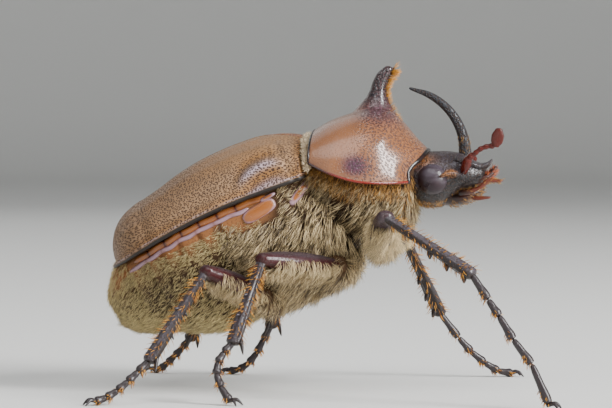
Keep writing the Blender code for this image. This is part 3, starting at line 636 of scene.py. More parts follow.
class Effects:
    """Node groups that the finishes share, each built once."""

    @staticmethod
    def start(name: str, output: str, **inputs: float) -> tuple[Board, bpy.types.NodeOutputs, Socket]:
        """Starts a node group with a vector, some numbers and one output.

        Args:
            name: the group's name.
            output: the name of its output, a number.
            **inputs: the first value of each number that goes in.

        Returns:
            Its board, what comes in (the vector first) and where the result goes.
        """
        tree = bpy.data.node_groups.new(name, "ShaderNodeTree")
        tree.interface.new_socket("Vector", in_out="INPUT", socket_type="NodeSocketVector")
        for key, value in inputs.items():
            socket = tree.interface.new_socket(key, in_out="INPUT", socket_type="NodeSocketFloat")
            socket.default_value = value
        tree.interface.new_socket(output, in_out="OUTPUT", socket_type="NodeSocketFloat")
        board = Board(tree)
        return board, board.add("NodeGroupInput").outputs, board.add("NodeGroupOutput").inputs[0]

    @staticmethod
    @cache
    def pits(flat: bool) -> bpy.types.NodeTree:
        """Round punctures scattered over a shell: Mask is 1 in their middle.

        Args:
            flat: whether they lie on an unwrapped surface rather than in space.

        Returns:
            The group.
        """
        name = "Flat Pits" if flat else "Fine Pits"
        board, start, end = Effects.start(name, "Mask", Scale=2000.0, Radius=0.3)
        cells = board.add(
            "ShaderNodeTexVoronoi", {"Vector": start[0], "Scale": start[1], "Randomness": 0.85},
            voronoi_dimensions="2D" if flat else "3D",
        )
        inner = board.times(start[2], 0.55)
        inputs = {"Value": cells.outputs["Distance"], "From Min": inner, "From Max": start[2]}
        inputs |= {"To Min": 1.0, "To Max": 0.0}
        ramp = board.add("ShaderNodeMapRange", inputs, interpolation_type="SMOOTHSTEP")
        board.join(ramp.outputs[0], end)
        return board.tree

    @staticmethod
    @cache
    def mottle() -> bpy.types.NodeTree:
        """Soft unevenness about 0, down to a sixteenth of its size.

        Returns:
            The group.
        """
        board, start, end = Effects.start("Soft Mottle", "Value", Scale=500.0, Amount=0.2)
        noise = board.add(
            "ShaderNodeTexNoise", {"Vector": start[0], "Scale": start[1], "Detail": 4.0, "Roughness": 0.62},
        )
        value = board.times(board.maths("SUBTRACT", noise.outputs[0], 0.5), start[2])
        board.join(board.times(value, 2.0), end)
        return board.tree


@dataclass(frozen=True)
class Finish:
    """A material that is built once and shared. Its first colour also stands for it in plain views."""

    name: str
    base: tuple
    second: tuple

    def material(self) -> bpy.types.Material:
        """Builds the material once and gives it back from then on.

        Returns:
            The material.
        """
        made = bpy.data.materials.get(self.name)
        if not made:
            made = bpy.data.materials.new(self.name)
            made.use_nodes = True
            made.diffuse_color = (*self.base, 1.0)
            board = Board(made.node_tree)
            where = board.add("ShaderNodeTexCoord").outputs["Object"]
            self._shade(board, made.node_tree.nodes["Principled BSDF"], where)
        return made

    def _shade(self, board: Board, shader: Node, where: Socket) -> None:
        """Sets and joins the shader's inputs, in each kind of finish.

        Args:
            board: the material's nodes.
            shader: the shader among them.
            where: object coordinates.
        """
        raise NotImplementedError


@dataclass(frozen=True)
class ShellFinish(Finish):
    """Hard cuticle: base and second colour by the piece's tone, a rim colour, punctures and fine grain."""

    rim: tuple = (0.02, 0.017, 0.016)
    pit_colour: tuple = (0.03, 0.015, 0.01)
    pit_scale: float = 2000.0
    pit_radius: float = 0.3
    pit_depth: float = 0.00005
    pit_dark: float = 0.8
    roughness: float = 0.3
    mottle: float = 0.25
    coat: float = 0.0
    coat_roughness: float = 0.12
    specular: float = 0.4
    patch_scale: float = 420.0
    grain_scale: float = 5200.0
    grain_height: float = 0.06
    glaze: tuple | None = None  # colour of the painted sheen, laid where the piece's glaze number is 1
    sheet: tuple | None = None  # size in mm of the unwrapped surface that the pits lie on

    def _shade(self, board: Board, shader: Node, where: Socket) -> None:
        """Sets and joins the shader's inputs.

        Args:
            board: the material's nodes.
            shader: the shader among them.
            where: object coordinates.
        """
        mapped = where
        if self.sheet:
            flat = board.add("ShaderNodeUVMap", uv_map="UVMap").outputs[0]
            mapped = board.add("ShaderNodeMapping", {"Vector": flat, "Scale": (*self.sheet, 1.0)}).outputs[0]
        amount = board.number("pit")
        size = board.times(board.plus(board.times(amount, 0.5), 0.5), self.pit_radius)
        mask = board.group(Effects.pits(bool(self.sheet)), Vector=mapped, Scale=self.pit_scale, Radius=size)
        mask = board.times(mask, board.maths("MINIMUM", amount, 1.0))
        patches = board.group(Effects.mottle(), Vector=where, Scale=self.patch_scale, Amount=self.mottle)
        grain = board.group(Effects.mottle(), Vector=where, Scale=self.grain_scale, Amount=1.0)
        light = board.plus(1.0, patches)
        shade = board.add("ShaderNodeCombineColor", {0: light, 1: light, 2: light}).outputs[0]
        colour = board.toned(board.times(patches, 0.8), self.base, self.second)
        colour = board.blend(1.0, colour, shade, "MULTIPLY")
        # Painted sheen: a pale colour laid where the piece's glaze number is high.
        if self.glaze:
            colour = board.blend(board.number("glaze"), colour, self.glaze)
        colour = board.blend(board.number("rim"), colour, self.rim)
        colour = board.blend(board.times(mask, self.pit_dark), colour, self.pit_colour)
        board.join(colour, shader.inputs["Base Color"])
        rough = board.plus(board.plus(self.roughness, board.times(patches, 0.35)), board.times(mask, 0.25))
        board.join(rough, shader.inputs["Roughness"])
        height = board.maths("SUBTRACT", board.times(grain, self.grain_height), mask)
        bump = board.add("ShaderNodeBump", {"Height": height, "Distance": self.pit_depth, "Strength": 1.0})
        board.join(bump.outputs[0], shader.inputs["Normal"])
        shader.inputs["Specular IOR Level"].default_value = self.specular
        shader.inputs["Coat Weight"].default_value = self.coat
        shader.inputs["Coat Roughness"].default_value = self.coat_roughness


@dataclass(frozen=True)
class HairFinish(Finish):
    """Bristles from a dark root to a tip between the second colour at tone 0 and the base at tone 1."""

    root: tuple = (0.03, 0.017, 0.008)
    roughness: float = 0.42
    patch_scale: float = 350.0

    def _shade(self, board: Board, shader: Node, where: Socket) -> None:
        """Sets and joins the shader's inputs.

        Args:
            board: the material's nodes.
            shader: the shader among them.
            where: object coordinates.
        """
        patches = board.group(Effects.mottle(), Vector=where, Scale=self.patch_scale, Amount=0.3)
        colour = board.toned(patches, self.second, self.base)
        colour = board.blend(board.times(board.number("root"), 0.85), colour, self.root)
        board.join(colour, shader.inputs["Base Color"])
        board.join(board.plus(self.roughness, patches), shader.inputs["Roughness"])


# Its glaze colour is a painted lilac highlight above the rim and on the shoulder's ridges.
WING_CASE = ShellFinish(
    "Wing Cover", (0.25, 0.148, 0.078), (0.21, 0.098, 0.030), rim=(0.016, 0.012, 0.010),
    pit_colour=(0.03, 0.013, 0.009), pit_scale=3.6, pit_radius=0.43, pit_depth=0.00006, pit_dark=0.92,
    roughness=0.44, specular=0.3, mottle=0.3, glaze=(0.37, 0.32, 0.42), sheet=(23.6, 14.5),
)
SHIELD = ShellFinish(
    "Thorax Shield", (0.205, 0.083, 0.035), (0.013, 0.010, 0.012), rim=(0.058, 0.026, 0.052),
    pit_colour=(0.030, 0.006, 0.008), pit_scale=2.9, pit_radius=0.42, pit_depth=0.00007, pit_dark=0.98,
    roughness=0.23, specular=0.6, coat=0.2, sheet=(SHEET, SHEET),
)
SHIELD_RIM = ShellFinish(
    "Shield Rim", (0.21, 0.012, 0.005), (0.008, 0.007, 0.007), pit_scale=2600.0, roughness=0.24, coat=0.2,
)
HEAD_SHELL = ShellFinish(
    "Head Cuticle", (0.052, 0.042, 0.052), (0.005, 0.004, 0.005), rim=(0.30, 0.11, 0.02), pit_scale=4200.0,
    pit_radius=0.6, pit_depth=0.00010, roughness=0.32, mottle=0.6, coat=0.1,
)
HORN = ShellFinish(
    "Horn", (0.026, 0.028, 0.034), (0.010, 0.009, 0.010), pit_scale=4400.0, pit_radius=0.6,
    pit_depth=0.00014, roughness=0.42, specular=0.35, mottle=0.6,
)
EYE = ShellFinish(
    "Eye", (0.050, 0.038, 0.050), (0.012, 0.003, 0.007), pit_scale=12000.0, pit_radius=0.5,
    pit_depth=0.000006, pit_dark=0.25, specular=0.35, coat=0.15, mottle=0.8,
)
FEELER = ShellFinish(
    "Feeler", (0.085, 0.007, 0.003), (0.045, 0.005, 0.003), pit_scale=5000.0, roughness=0.24,
    specular=0.25, coat=0.2, mottle=0.7,
)
MOUTH = ShellFinish(
    "Mouthpart", (0.10, 0.016, 0.005), (0.010, 0.005, 0.004), pit_scale=5000.0, specular=0.3, coat=0.2,
    mottle=0.6,
)
SKIN = ShellFinish(
    "Body Skin", (0.07, 0.035, 0.014), (0.03, 0.016, 0.009), rim=(0.25, 0.10, 0.035), pit_scale=4200.0,
    pit_radius=0.5, roughness=0.55, specular=0.15,
)
# Its rim colour is a painted lilac sheen on the plates' edges and on the lower band.
PLATE = ShellFinish(
    "Side Plate", (0.26, 0.085, 0.020), (0.05, 0.008, 0.004), rim=(0.28, 0.18, 0.23), pit_scale=5200.0,
    roughness=0.25, coat=0.25, mottle=0.45,
)
# Its lilac-grey second colour is painted sheen on the thighs' tops.
THIGH = ShellFinish(
    "Thigh", (0.036, 0.004, 0.005), (0.04, 0.027, 0.032), pit_scale=3600.0, pit_radius=0.5, specular=0.3,
    coat=0.15, mottle=0.5,
)
# Its pale grey-lilac base colour is painted highlight on the shins' upper sides.
SHIN = ShellFinish(
    "Shin", (0.050, 0.041, 0.049), (0.012, 0.007, 0.006), pit_scale=3000.0, pit_radius=0.55,
    roughness=0.34, specular=0.35, coat=0.15, mottle=0.5,
)
PALE_HAIR = HairFinish("Pale Coat", (0.82, 0.63, 0.34), (0.055, 0.030, 0.011))
BELLY_HAIR = HairFinish("Belly Coat", (0.80, 0.64, 0.30), (0.16, 0.105, 0.034))
CREAM_HAIR = HairFinish("Cream Tuft", (0.88, 0.74, 0.52), (0.26, 0.15, 0.055))
GOLD_HAIR = HairFinish("Golden Coat", (0.55, 0.28, 0.06), (0.08, 0.028, 0.007))
ORANGE_HAIR = HairFinish("Orange Bristle", (0.72, 0.33, 0.035), (0.24, 0.075, 0.008))
RED_HAIR = HairFinish("Red Bristle", (0.50, 0.11, 0.02), (0.12, 0.012, 0.004))


@dataclass
class Hairs:
    """A coat: thin tapered bristles that rise from their roots, bend over and lie along their flow."""

    name: str
    finish: HairFinish
    draw: Chance
    thickness: float = 0.1
    sink: float = 0.12
    lifts: tuple = (0.8, 0.35, 0.1)
    clump: float = 0.0
    clumps: int = 0
    stray: float = 0.16
    batch: int = 2000  # hairs that are compared at once
    lowest: float = 0.08  # mm above the floor
    patch: float = 0.003  # share of the map that one hair takes
    room: float = 0.994  # share that the hairs' places take
    margin: float = 0.0015
    batches: list = field(default_factory=list)

    def sown(self, count: int, places: tuple, turns: tuple = (0.0, math.tau)) -> tuple[Array, Array]:
        """Random lengths along a form and random turns round it, one of each per hair."""
        return self.draw.uniform(*places, count), self.draw.uniform(*turns, count)

    def on(
        self, form: Loft, place: Array, angle: Array, lie: Numbers, length: Numbers,
        tone: tuple[float, float] = (0.0, 1.0),
    ) -> None:
        """Roots hairs on a form.

        Args:
            form: the loft that they grow from.
            place: lengths along it, one per hair.
            angle: angles round it, one per hair.
            lie: the direction that they flow in, one for all or one per hair.
            length: hair lengths in mm, one for all or one per hair.
            tone: the lowest and highest tone.
        """
        draw = self.draw
        roots, outward = form.at(place, angle), form.outward(place, angle)
        share = (place + form.domes[0]) / (form.length + sum(form.domes))
        patch = np.column_stack(((angle / math.tau) % 1.0, share + len(self.batches)))
        count = len(place)
        length = np.broadcast_to(length, count) * draw.uniform(0.72, 1.18, count)
        tones = tone[0] + (tone[1] - tone[0]) * draw.beta(0.6, 0.6, count)
        flow = np.broadcast_to(np.asarray(lie, float), (count, 3)) + draw.normal(0, self.stray, (count, 3))
        flow = unit(flow - outward * np.sum(flow * outward, axis=1, keepdims=True))
        self.batches.append((roots, outward, flow, length, tones, patch))

    def build(self, slot_name: str) -> None:
        """Makes the coat as one mesh of closed bristles.

        Args:
            slot_name: not used.
        """
        roots, outward, flow, length, tones, patch = (np.concatenate(part) for part in zip(*self.batches))
        patch[:, 1] /= len(self.batches)
        spots = [roots - outward * self.sink]
        curl = self.draw.normal(0, self.stray, roots.shape)
        for step, lift in enumerate(self.lifts):
            way = unit(outward * lift + flow + curl * (0.4 + 0.5 * step))
            joint = spots[-1] + way * (length / len(self.lifts))[:, None]
            joint[:, 2] = np.maximum(joint[:, 2], self.lowest)
            spots.append(joint)
        spots = np.stack(spots, axis=1)
        if self.clumps:
            self._gather(spots)
        thing = bpy.data.objects.new(self.name, self._mesh(spots, outward, tones, patch))
        bpy.context.scene.collection.objects.link(thing)
        Forge.placed(thing, self.finish, slot_name)

    def _gather(self, spots: Array) -> None:
        """Draws the tips of neighbouring hairs together into pointed locks.

        Args:
            spots: the joints of each hair, changed in place.
        """
        leaders = self.draw.choice(len(spots), min(self.clumps, len(spots)), replace=False)
        nearest = np.empty(len(spots), int)
        for start in range(0, len(spots), self.batch):
            part = slice(start, start + self.batch)
            gaps = np.linalg.norm(spots[part, 0][:, None] - spots[leaders, 0][None], axis=2)
            nearest[part] = leaders[np.argmin(gaps, axis=1)]
        joints = spots.shape[1]
        for k in range(1, joints):
            pull = self.clump * (k / (joints - 1)) ** 1.3
            spots[:, k] += (spots[nearest, k] - spots[:, k]) * pull

    def _mesh(self, spots: Array, outward: Array, tones: Array, patch: Array) -> bpy.types.Mesh:
        """Closed three-sided bristles round their joints.

        Args:
            spots: the joints of each hair.
            outward: the skin's direction at each root.
            tones: each hair's tone.
            patch: each hair's place on the unwrapped skin.

        Returns:
            The mesh.
        """
        count, joints = spots.shape[:2]
        rings = joints - 1
        way = unit(spots[:, 1:] - spots[:, :-1])
        across = unit(np.cross(way, outward[:, None] + 0.01))
        over = np.cross(across, way)
        girth = self.thickness / 2 * np.linspace(1.0, 0.55, rings)[None, :, None]
        corners = [
            spots[:, :-1] + (across * math.cos(turn) + over * math.sin(turn)) * girth for turn in THIRDS
        ]
        rounds = np.stack(corners, axis=2).reshape(count, rings * 3, 3)
        points = np.concatenate((rounds, spots[:, -1:]), axis=1)
        size = rings * 3 + 1
        faces = [(0, 2, 1)]
        for k in range(rings):
            for side in range(3):
                a, b = k * 3 + side, k * 3 + (side + 1) % 3
                faces += [(a, b, b + 3), (a, b + 3, a + 3)] if k < rings - 1 else [(a, b, size - 1)]
        loops = (np.array(faces)[None] + (np.arange(count) * size)[:, None, None]).reshape(-1)
        mesh = bpy.data.meshes.new(self.name)
        mesh.vertices.add(count * size)
        mesh.vertices.foreach_set("co", ((points.reshape(-1, 3) + STANCE) * MM).astype(np.float32).ravel())
        mesh.loops.add(len(loops))
        mesh.loops.foreach_set("vertex_index", loops.astype(np.int32))
        mesh.polygons.add(len(loops) // 3)
        mesh.polygons.foreach_set("loop_start", np.arange(0, len(loops), 3, dtype=np.int32))
        mesh.update(calc_edges=True)
        mesh.polygons.foreach_set("use_smooth", np.ones(len(loops) // 3, bool))
        up = np.append(np.repeat(np.arange(rings), 3), rings) / rings
        side = np.append(np.tile((0.0, 0.5, 1.0), rings), 0.5)
        own = np.column_stack((side, up)) * self.patch
        uv = (patch[:, None] * self.room + self.margin + own[None]).reshape(-1, 2)[loops]
        mesh.uv_layers.new(name="OFBake").data.foreach_set("uv", uv.astype(np.float32).ravel())
        roots = np.tile(1.0 - ease(up, 0.0, 0.45), count)
        for name, values in (("tone", np.repeat(tones, size)), ("root", roots)):
            layer = mesh.attributes.new(name, "FLOAT", "POINT")
            layer.data.foreach_set("value", values.astype(np.float32))
        mesh.validate()
        return mesh


@dataclass
class WingCases:
    """The two wing cases, the small plate between them and the tuft in front of it."""

    rows: tuple = (
        (0.0, 8.9, 4.25), (1.3, 9.25, 5.25), (2.5, 9.55, 5.9), (5.3, 9.95, 6.48), (9.0, 10.25, 6.62),
        (13.0, 10.3, 6.25), (15.2, 10.1, 5.8), (16.6, 9.85, 5.56), (17.6, 9.4, 5.4),
    )
    apex: float = 5.5
    suture: float = 0.05
    base: float = 0.75
    wall: float = 0.28
    rim_start: float = 0.93
    rim_drop: float = 0.4
    front_turn: float = 1.25
    shoulder: tuple = (3.2, 2.7)
    plate: tuple = (
        (-0.6, 3.7, 1.9, 0.35, 0.9), (1.2, 5.0, 1.35, 0.35, 0.9), (2.8, 5.8, 0.45, 0.3, 0.9),
    )
    collar: tuple = ((-1.7, 0.0, 0.0, 8.3, 3.45, 1.0), (-0.4, 0.0, 0.0, 8.5, 3.9, 1.0))
    tuft_hairs: int = 3400
    tuft_reach: float = 1.5  # radians to each side of the top

    def __post_init__(self) -> None:
        """Makes the lofts of the dome and of the small plate."""
        rows = [(place, 0.0, 0.0, wide, high, 0.02) for place, wide, high in self.rows]
        self.dome = Loft(rows, HIND, (1, 0, 0), power=2.25, domes=(0.0, self.apex), warp=lean_shoulders)
        self.small = Loft(
            body_rows(self.plate), HIND, (1, 0, 0), power=4.0, domes=(0.05, 0.05), warp=lean_shoulders,
        )

    def surface(self, side: Side) -> Surface:
        """The outer face of one wing case, from the suture to the turned-in rim.

        Args:
            side: which wing case.

        Returns:
            The surface of u along the case and v from suture to rim.
        """
        sign = side.value

        def points(u: Array, v: Array) -> Array:
            """The outer face of the wing case.

            Args:
                u: share of the way along it.
                v: share of the way from the suture to the bead of the margin.

            Returns:
                Points in the beetle's frame.
            """
            down = np.clip(v / self.rim_start, 0.0, 1.0)
            rim = np.clip((v - self.rim_start) / (1.0 - self.rim_start), 0.0, 1.0)
            angle = math.pi / 2 * (1.0 - down)
            if side is Side.RIGHT:
                angle = math.pi - angle
            run = u * (self.base + self.dome.length + self.apex) - self.base
            place = np.clip(run, 0.0, self.dome.length)
            over = run - place
            front = over < 0
            turn = np.where(front, -over / self.base * self.front_turn, over / self.apex * math.pi / 2)
            shift = np.where(front, -1.4 * self.base, self.apex) * np.sin(turn)
            scale = np.where(front, 1.0 - 0.6 * (1.0 - np.cos(turn)), np.cos(turn))
            local = HIND.into(self.dome.skin(place, angle, scale=scale, shift=shift))
            x, y, z = local.T
            groove = 0.55 * ease(down, 0.78, 0.86) * (1 - ease(down, 0.9, 1.0))
            flare = ease(down, 0.86, 1.0) * (1.0 - 0.6 * rim) - groove
            hold = ease(scale, 0.0, 0.3) * np.where(front, 1.0 - 0.7 * turn / self.front_turn, 1.0)
            bead = 0.12 * np.sin(math.pi * rim) - 0.16 * rim**2
            y += sign * (0.26 * flare + bead) * hold
            x += 0.45 * ease(down, 0.88, 1.0) * ease(x, 21.0, 23.0)
            drop = self.rim_drop * (1.0 - 0.3 * ease(x, 14.0, 22.0)) * (0.35 + 0.65 * hold)
            z += 0.1 * flare * hold - drop * (1.0 - np.cos(math.pi * rim)) / 2
            z += bow(x) * (1.0 - ease(z, 0.0, 3.5))
            self._bumps(local, down)
            y[:] = sign * np.maximum(sign * y, self.suture)
            return HIND.out(local)

        return points

    def _bumps(self, local: Array, down: Array) -> None:
        """Raises the shoulder bump, the bead along the suture and faint ribs, in place.

        Args:
            local: points in the hind frame.
            down: how far each lies from the suture to the margin.
        """
        x, y, z = local.T
        lift = 0.5 * self._near_shoulder(local, 0.0) - 0.3 * self._near_shoulder(local, -1.15)
        lift -= 0.2 * self._near_shoulder(local, 1.3)
        lift -= 0.16 * bell(x - 0.1 * z, 0.5, 0.3) * ease(down, 0.2, 0.5)
        lift += 0.09 * bell(abs(y), 0.18, 0.16) - 0.08 * bell(abs(y), 0.6, 0.16)
        lift += 0.035 * np.cos(down * math.pi * 9.0) * ease(down, 0.08, 0.2) * (1 - ease(down, 0.75, 0.85))
        out = unit(np.column_stack((np.zeros(len(local)), y / 9.5**2, z / 6.0**2 + 1e-6)))
        local += out * lift[:, None]

    def _near_shoulder(self, local: Array, above: float) -> Array:
        """How near points lie to the ridge over the shoulder, or to a line above or below it.

        Args:
            local: points in the hind frame.
            above: how far the line lies above the ridge.

        Returns:
            Values from 0 to 1.
        """
        middle, height = self.shoulder
        x, y, z = local.T
        ridge = height + above - 0.09 * (x - middle) ** 2
        return ease(abs(y), 5.0, 7.5) * np.exp(-(((z - ridge) / 0.6) ** 2) - ((x - middle - 0.4) / 2.5) ** 4)

    def build(self) -> None:
        """Makes the wing cases, the plate and the tuft."""
        for side in Side:
            piece = Forge.wrapped(f"wing_case_{side.word}", 150, 110, self.surface(side), closed=False)
            local = HIND.into(Forge.points(piece))
            x, _, z = local.T
            self._face_out(piece)
            edge = 1.0 - ease(z - bow(x), 0.0, 0.13)
            pit = (1.0 - edge) * (1.0 - 0.55 * ease(z, 3.2, 6.0) * (1.0 - ease(x, 4.0, 13.0)))
            # glaze lays painted highlights above the rim and on the shoulder's ridges
            Forge.mark(piece, tone=self._tone(local), rim=edge, glaze=self._glaze(local), pit=pit)
            Forge.modified(piece, "SOLIDIFY", thickness=self.wall * MM, offset=-1.0, use_rim=True)
            Forge.done(piece, WING_CASE, "wing_case", [f"elytron_{side.word}"])
        piece = Forge.wrapped("scutellum_plate", 24, 32, self.small.wrap)
        Forge.unwrap(piece, Forge.points(piece)[:, :2] / SHEET + 0.5)
        Forge.done(piece, SHIELD, "shield", ["scutellum"], tone=0.1, pit=0.5)
        self._tuft()

    def _tuft(self) -> None:
        """The cream hair that stands in the gap between the shield and the wing cases."""
        draw = np.random.default_rng(SEED + 2)
        hairs = Hairs(
            "scutellum_tuft", CREAM_HAIR, draw, 0.07, lifts=(1.6, 1.0, 0.6), clump=0.5, clumps=160, stray=0.4,
        )
        angle = math.pi / 2 + draw.uniform(-self.tuft_reach, self.tuft_reach, self.tuft_hairs)
        low = abs(angle - math.pi / 2) / self.tuft_reach
        place = draw.uniform(0.0, 1.0, self.tuft_hairs) * (1.0 - 0.3 * low)
        collar = Loft(self.collar, HIND, (1, 0, 0), power=2.25, warp=lean_shoulders)
        lie = np.column_stack((-0.3 - 0.5 * low, np.zeros(self.tuft_hairs), 0.8 - 1.5 * low))
        hairs.on(collar, place, angle, lie, 1.0 - 0.1 * low, (0.3, 1.0))
        hairs.build("bristle")

    @staticmethod
    def _face_out(piece: Thing) -> None:
        """Turns an open shell's faces so that most of them look up.

        Args:
            piece: the shell.
        """
        normals = np.empty(len(piece.data.polygons) * 3, np.float32)
        piece.data.polygons.foreach_get("normal", normals)
        if normals.reshape(-1, 3)[:, 2].sum() < 0:
            piece.data.flip_normals()

    def _glaze(self, local: Array) -> Array:
        """Painted highlight: the pale lilac line above the rim and along the shoulder's ridges.

        Args:
            local: points in the hind frame.

        Returns:
            How pale each is, from 0 to 1.
        """
        x, _, z = local.T
        line = bell(z - bow(x), 0.2, 0.06) * (0.6 + 0.4 * np.sin(x * 1.9 + 1.3 * np.sin(x * 3.1)))
        ridges = self._near_shoulder(local, 0.15) ** 2 + 0.7 * self._near_shoulder(local, -1.9) ** 2
        return np.clip(0.7 * line + 0.55 * ridges, 0.0, 1.0)

    def _tone(self, local: Array) -> Array:
        """The darker colour gathers along the suture and the margin, and as painted shade in the grooves
        beside the shoulder.

        Args:
            local: points in the hind frame.

        Returns:
            How dark each is, from 0 to 1.
        """
        x, y, z = local.T
        low = bell(z - bow(x), 0.55, 0.4)
        front = 1.0 - ease(x + 0.3 * z, -0.3, 0.9)
        # painted shade in the grooves above and below the shoulder's ridge
        groove = self._near_shoulder(local, -0.9) + 0.7 * self._near_shoulder(local, 1.2)
        dark = 0.1 + 0.6 * bell(abs(y), 0.0, 0.7) + 0.5 * low + 0.8 * front + groove + 0.4 * ease(z, 3.0, 5.5)
        return np.clip(dark, 0.0, 1.0)


@dataclass
class Shield:
    """The thorax shield with its upright horn, its rims and its bristles."""

    rows: tuple = (
        (0.0, 0.2, 8.7, 3.6), (1.2, -0.2, 9.1, 5.3), (2.6, -0.5, 9.4, 6.6), (4.0, -0.7, 9.4, 7.5),
        (5.5, -0.78, 9.2, 8.1), (7.0, -0.65, 8.7, 8.0), (8.5, -0.4, 7.9, 6.7), (10.0, -0.1, 6.9, 4.85),
        (11.0, 0.1, 5.8, 3.75),
    )
    lip: float = 0.45
    horn_rows: tuple = (
        (5.7, 5.0, 3.9, 3.7), (5.6, 6.2, 2.75, 2.75), (5.45, 7.2, 2.0, 1.9), (5.4, 7.9, 1.5, 1.45),
        (5.3, 8.9, 1.0, 1.1), (5.3, 10.1, 0.82, 0.9), (5.6, 11.2, 0.72, 0.78), (5.95, 11.75, 0.56, 0.6),
    )
    voxel: float = 0.13
    fringe: tuple = (110, 260)  # bristles on the horn's foot and on its column

    def __post_init__(self) -> None:
        """Makes the lofts of the shield and the horn."""
        rows = [(place, 0.0, level, wide, high, self.lip) for place, level, wide, high in self.rows]
        self.dome = Loft(rows, FORE, (1, 0, 0), power=2.1, domes=(0.12, 0.12), warp=lean_shield)
        rows = [(place, 0.0, height, wide, long, long) for place, height, long, wide in self.horn_rows]
        self.horn = Loft(rows, FORE, (0, 0, 1), up=(-1, 0, 0), domes=(0.05, 0.3))

    def build(self) -> None:
        """Makes the shield and horn as one skin, its rims and the horn's fringe."""
        piece = Forge.wrapped("thorax_shield", 90, 160, self.dome.wrap)
        Forge.fused(piece, [Forge.wrapped("horn_column", 60, 56, self.horn.wrap)], self.voxel)
        Forge.modified(piece, "SMOOTH", factor=0.5, iterations=10)
        local = FORE.into(Forge.points(piece))
        x, _, z = local.T
        Forge.unwrap(piece, self._flattened(local))
        centre = bell(x, 5.9, 2.4)
        tone = ease(z + 0.7 * centre, 6.6, 9.3)
        violet = 0.75 * bell(z, 6.9, 1.2) * centre
        spot = self._spot(local)
        pit = 0.2 + 0.65 * ease(x + 0.25 * z, 4.0, 7.0) + 0.8 * np.maximum(tone, violet) + 0.6 * spot
        rim = np.maximum(0.9 * spot, violet)
        Forge.done(piece, SHIELD, "shield", ["pronotum", "thoracic_horn"], 70.0, tone=tone, rim=rim, pit=pit)
        self._rims()
        self._fringe()

    @staticmethod
    def _flattened(local: Array) -> Array:
        """Places on a flat map: down each side of the shield, and round the horn above it.

        Args:
            local: points in the fore frame.

        Returns:
            Two numbers for each, mostly from 0 to 1.
        """
        x, y, z = local.T
        up = ease(z, 6.0, 8.0)
        round_horn = 5.4 + 1.25 * np.arctan2(x - 5.4, abs(y))
        return np.column_stack((x * (1 - up) + round_horn * up, z - abs(y) * (1 - up))) / SHEET + 0.5

    @staticmethod
    def _spot(local: Array) -> Array:
        """The dim violet patch low on each side."""
        gap = np.column_stack(((local[:, 0] - 5.0) / 1.45, (local[:, 2] - 0.85) / 1.15))
        return np.exp(-(np.sum(gap**2, axis=1) ** 1.5))

    def _rims(self) -> None:
        """The dark beads round the shield's front edge, rear edge and sides."""
        length = self.dome.length
        sides, turns = np.linspace(0.0, length, 14), np.linspace(0.0, math.pi, 15)
        things = [
            self._bead(self.dome.skin(np.full(15, length), turns, grow=-0.12), 0.27),
            self._bead(self.dome.skin(np.zeros(15), turns, grow=-0.1), 0.14),
        ]
        for angle in (math.pi, 0.0):
            bead = self._bead(self.dome.skin(sides, angle, grow=-0.06), 0.13)
            ahead = FORE.into(Forge.points(bead))[:, 0]
            Forge.mark(bead, tone=0.95 - 0.7 * ease(ahead, 1.0, 4.5))
            things.append(bead)
        Forge.done(Forge.joined("shield_rim", things), SHIELD_RIM, "shield")

    @staticmethod
    def _bead(points: Array, radius: float) -> Thing:
        """A round black bead along points.

        Args:
            points: places along its middle.
            radius: its radius.

        Returns:
            The bead.
        """
        form = tube(points, (radius, radius), up=(0.31, 0.17, 0.94), domes=(radius, radius))
        bead = Forge.wrapped("bead", 70, 10, form.wrap)
        Forge.mark(bead, tone=1.0, pit=0.0)
        return bead

    def _fringe(self) -> None:
        """The orange bristles down the front of the horn."""
        draw = np.random.default_rng(SEED + 1)
        hairs = Hairs("horn_fringe", ORANGE_HAIR, draw, 0.05, lifts=(3.0, 2.2, 1.5), stray=0.35)
        low, high = self.fringe
        place = np.append(draw.uniform(1.2, 4.0, low), draw.uniform(3.6, self.horn.length + 0.1, high))
        angle = -math.pi / 2 + draw.normal(0, 0.3, low + high)
        hairs.on(self.horn, place, angle, (0.6, 0.0, 0.8), 0.65 + 0.5 * ease(place, 3.2, 6.5), (0.2, 1.0))
        hairs.build("bristle")


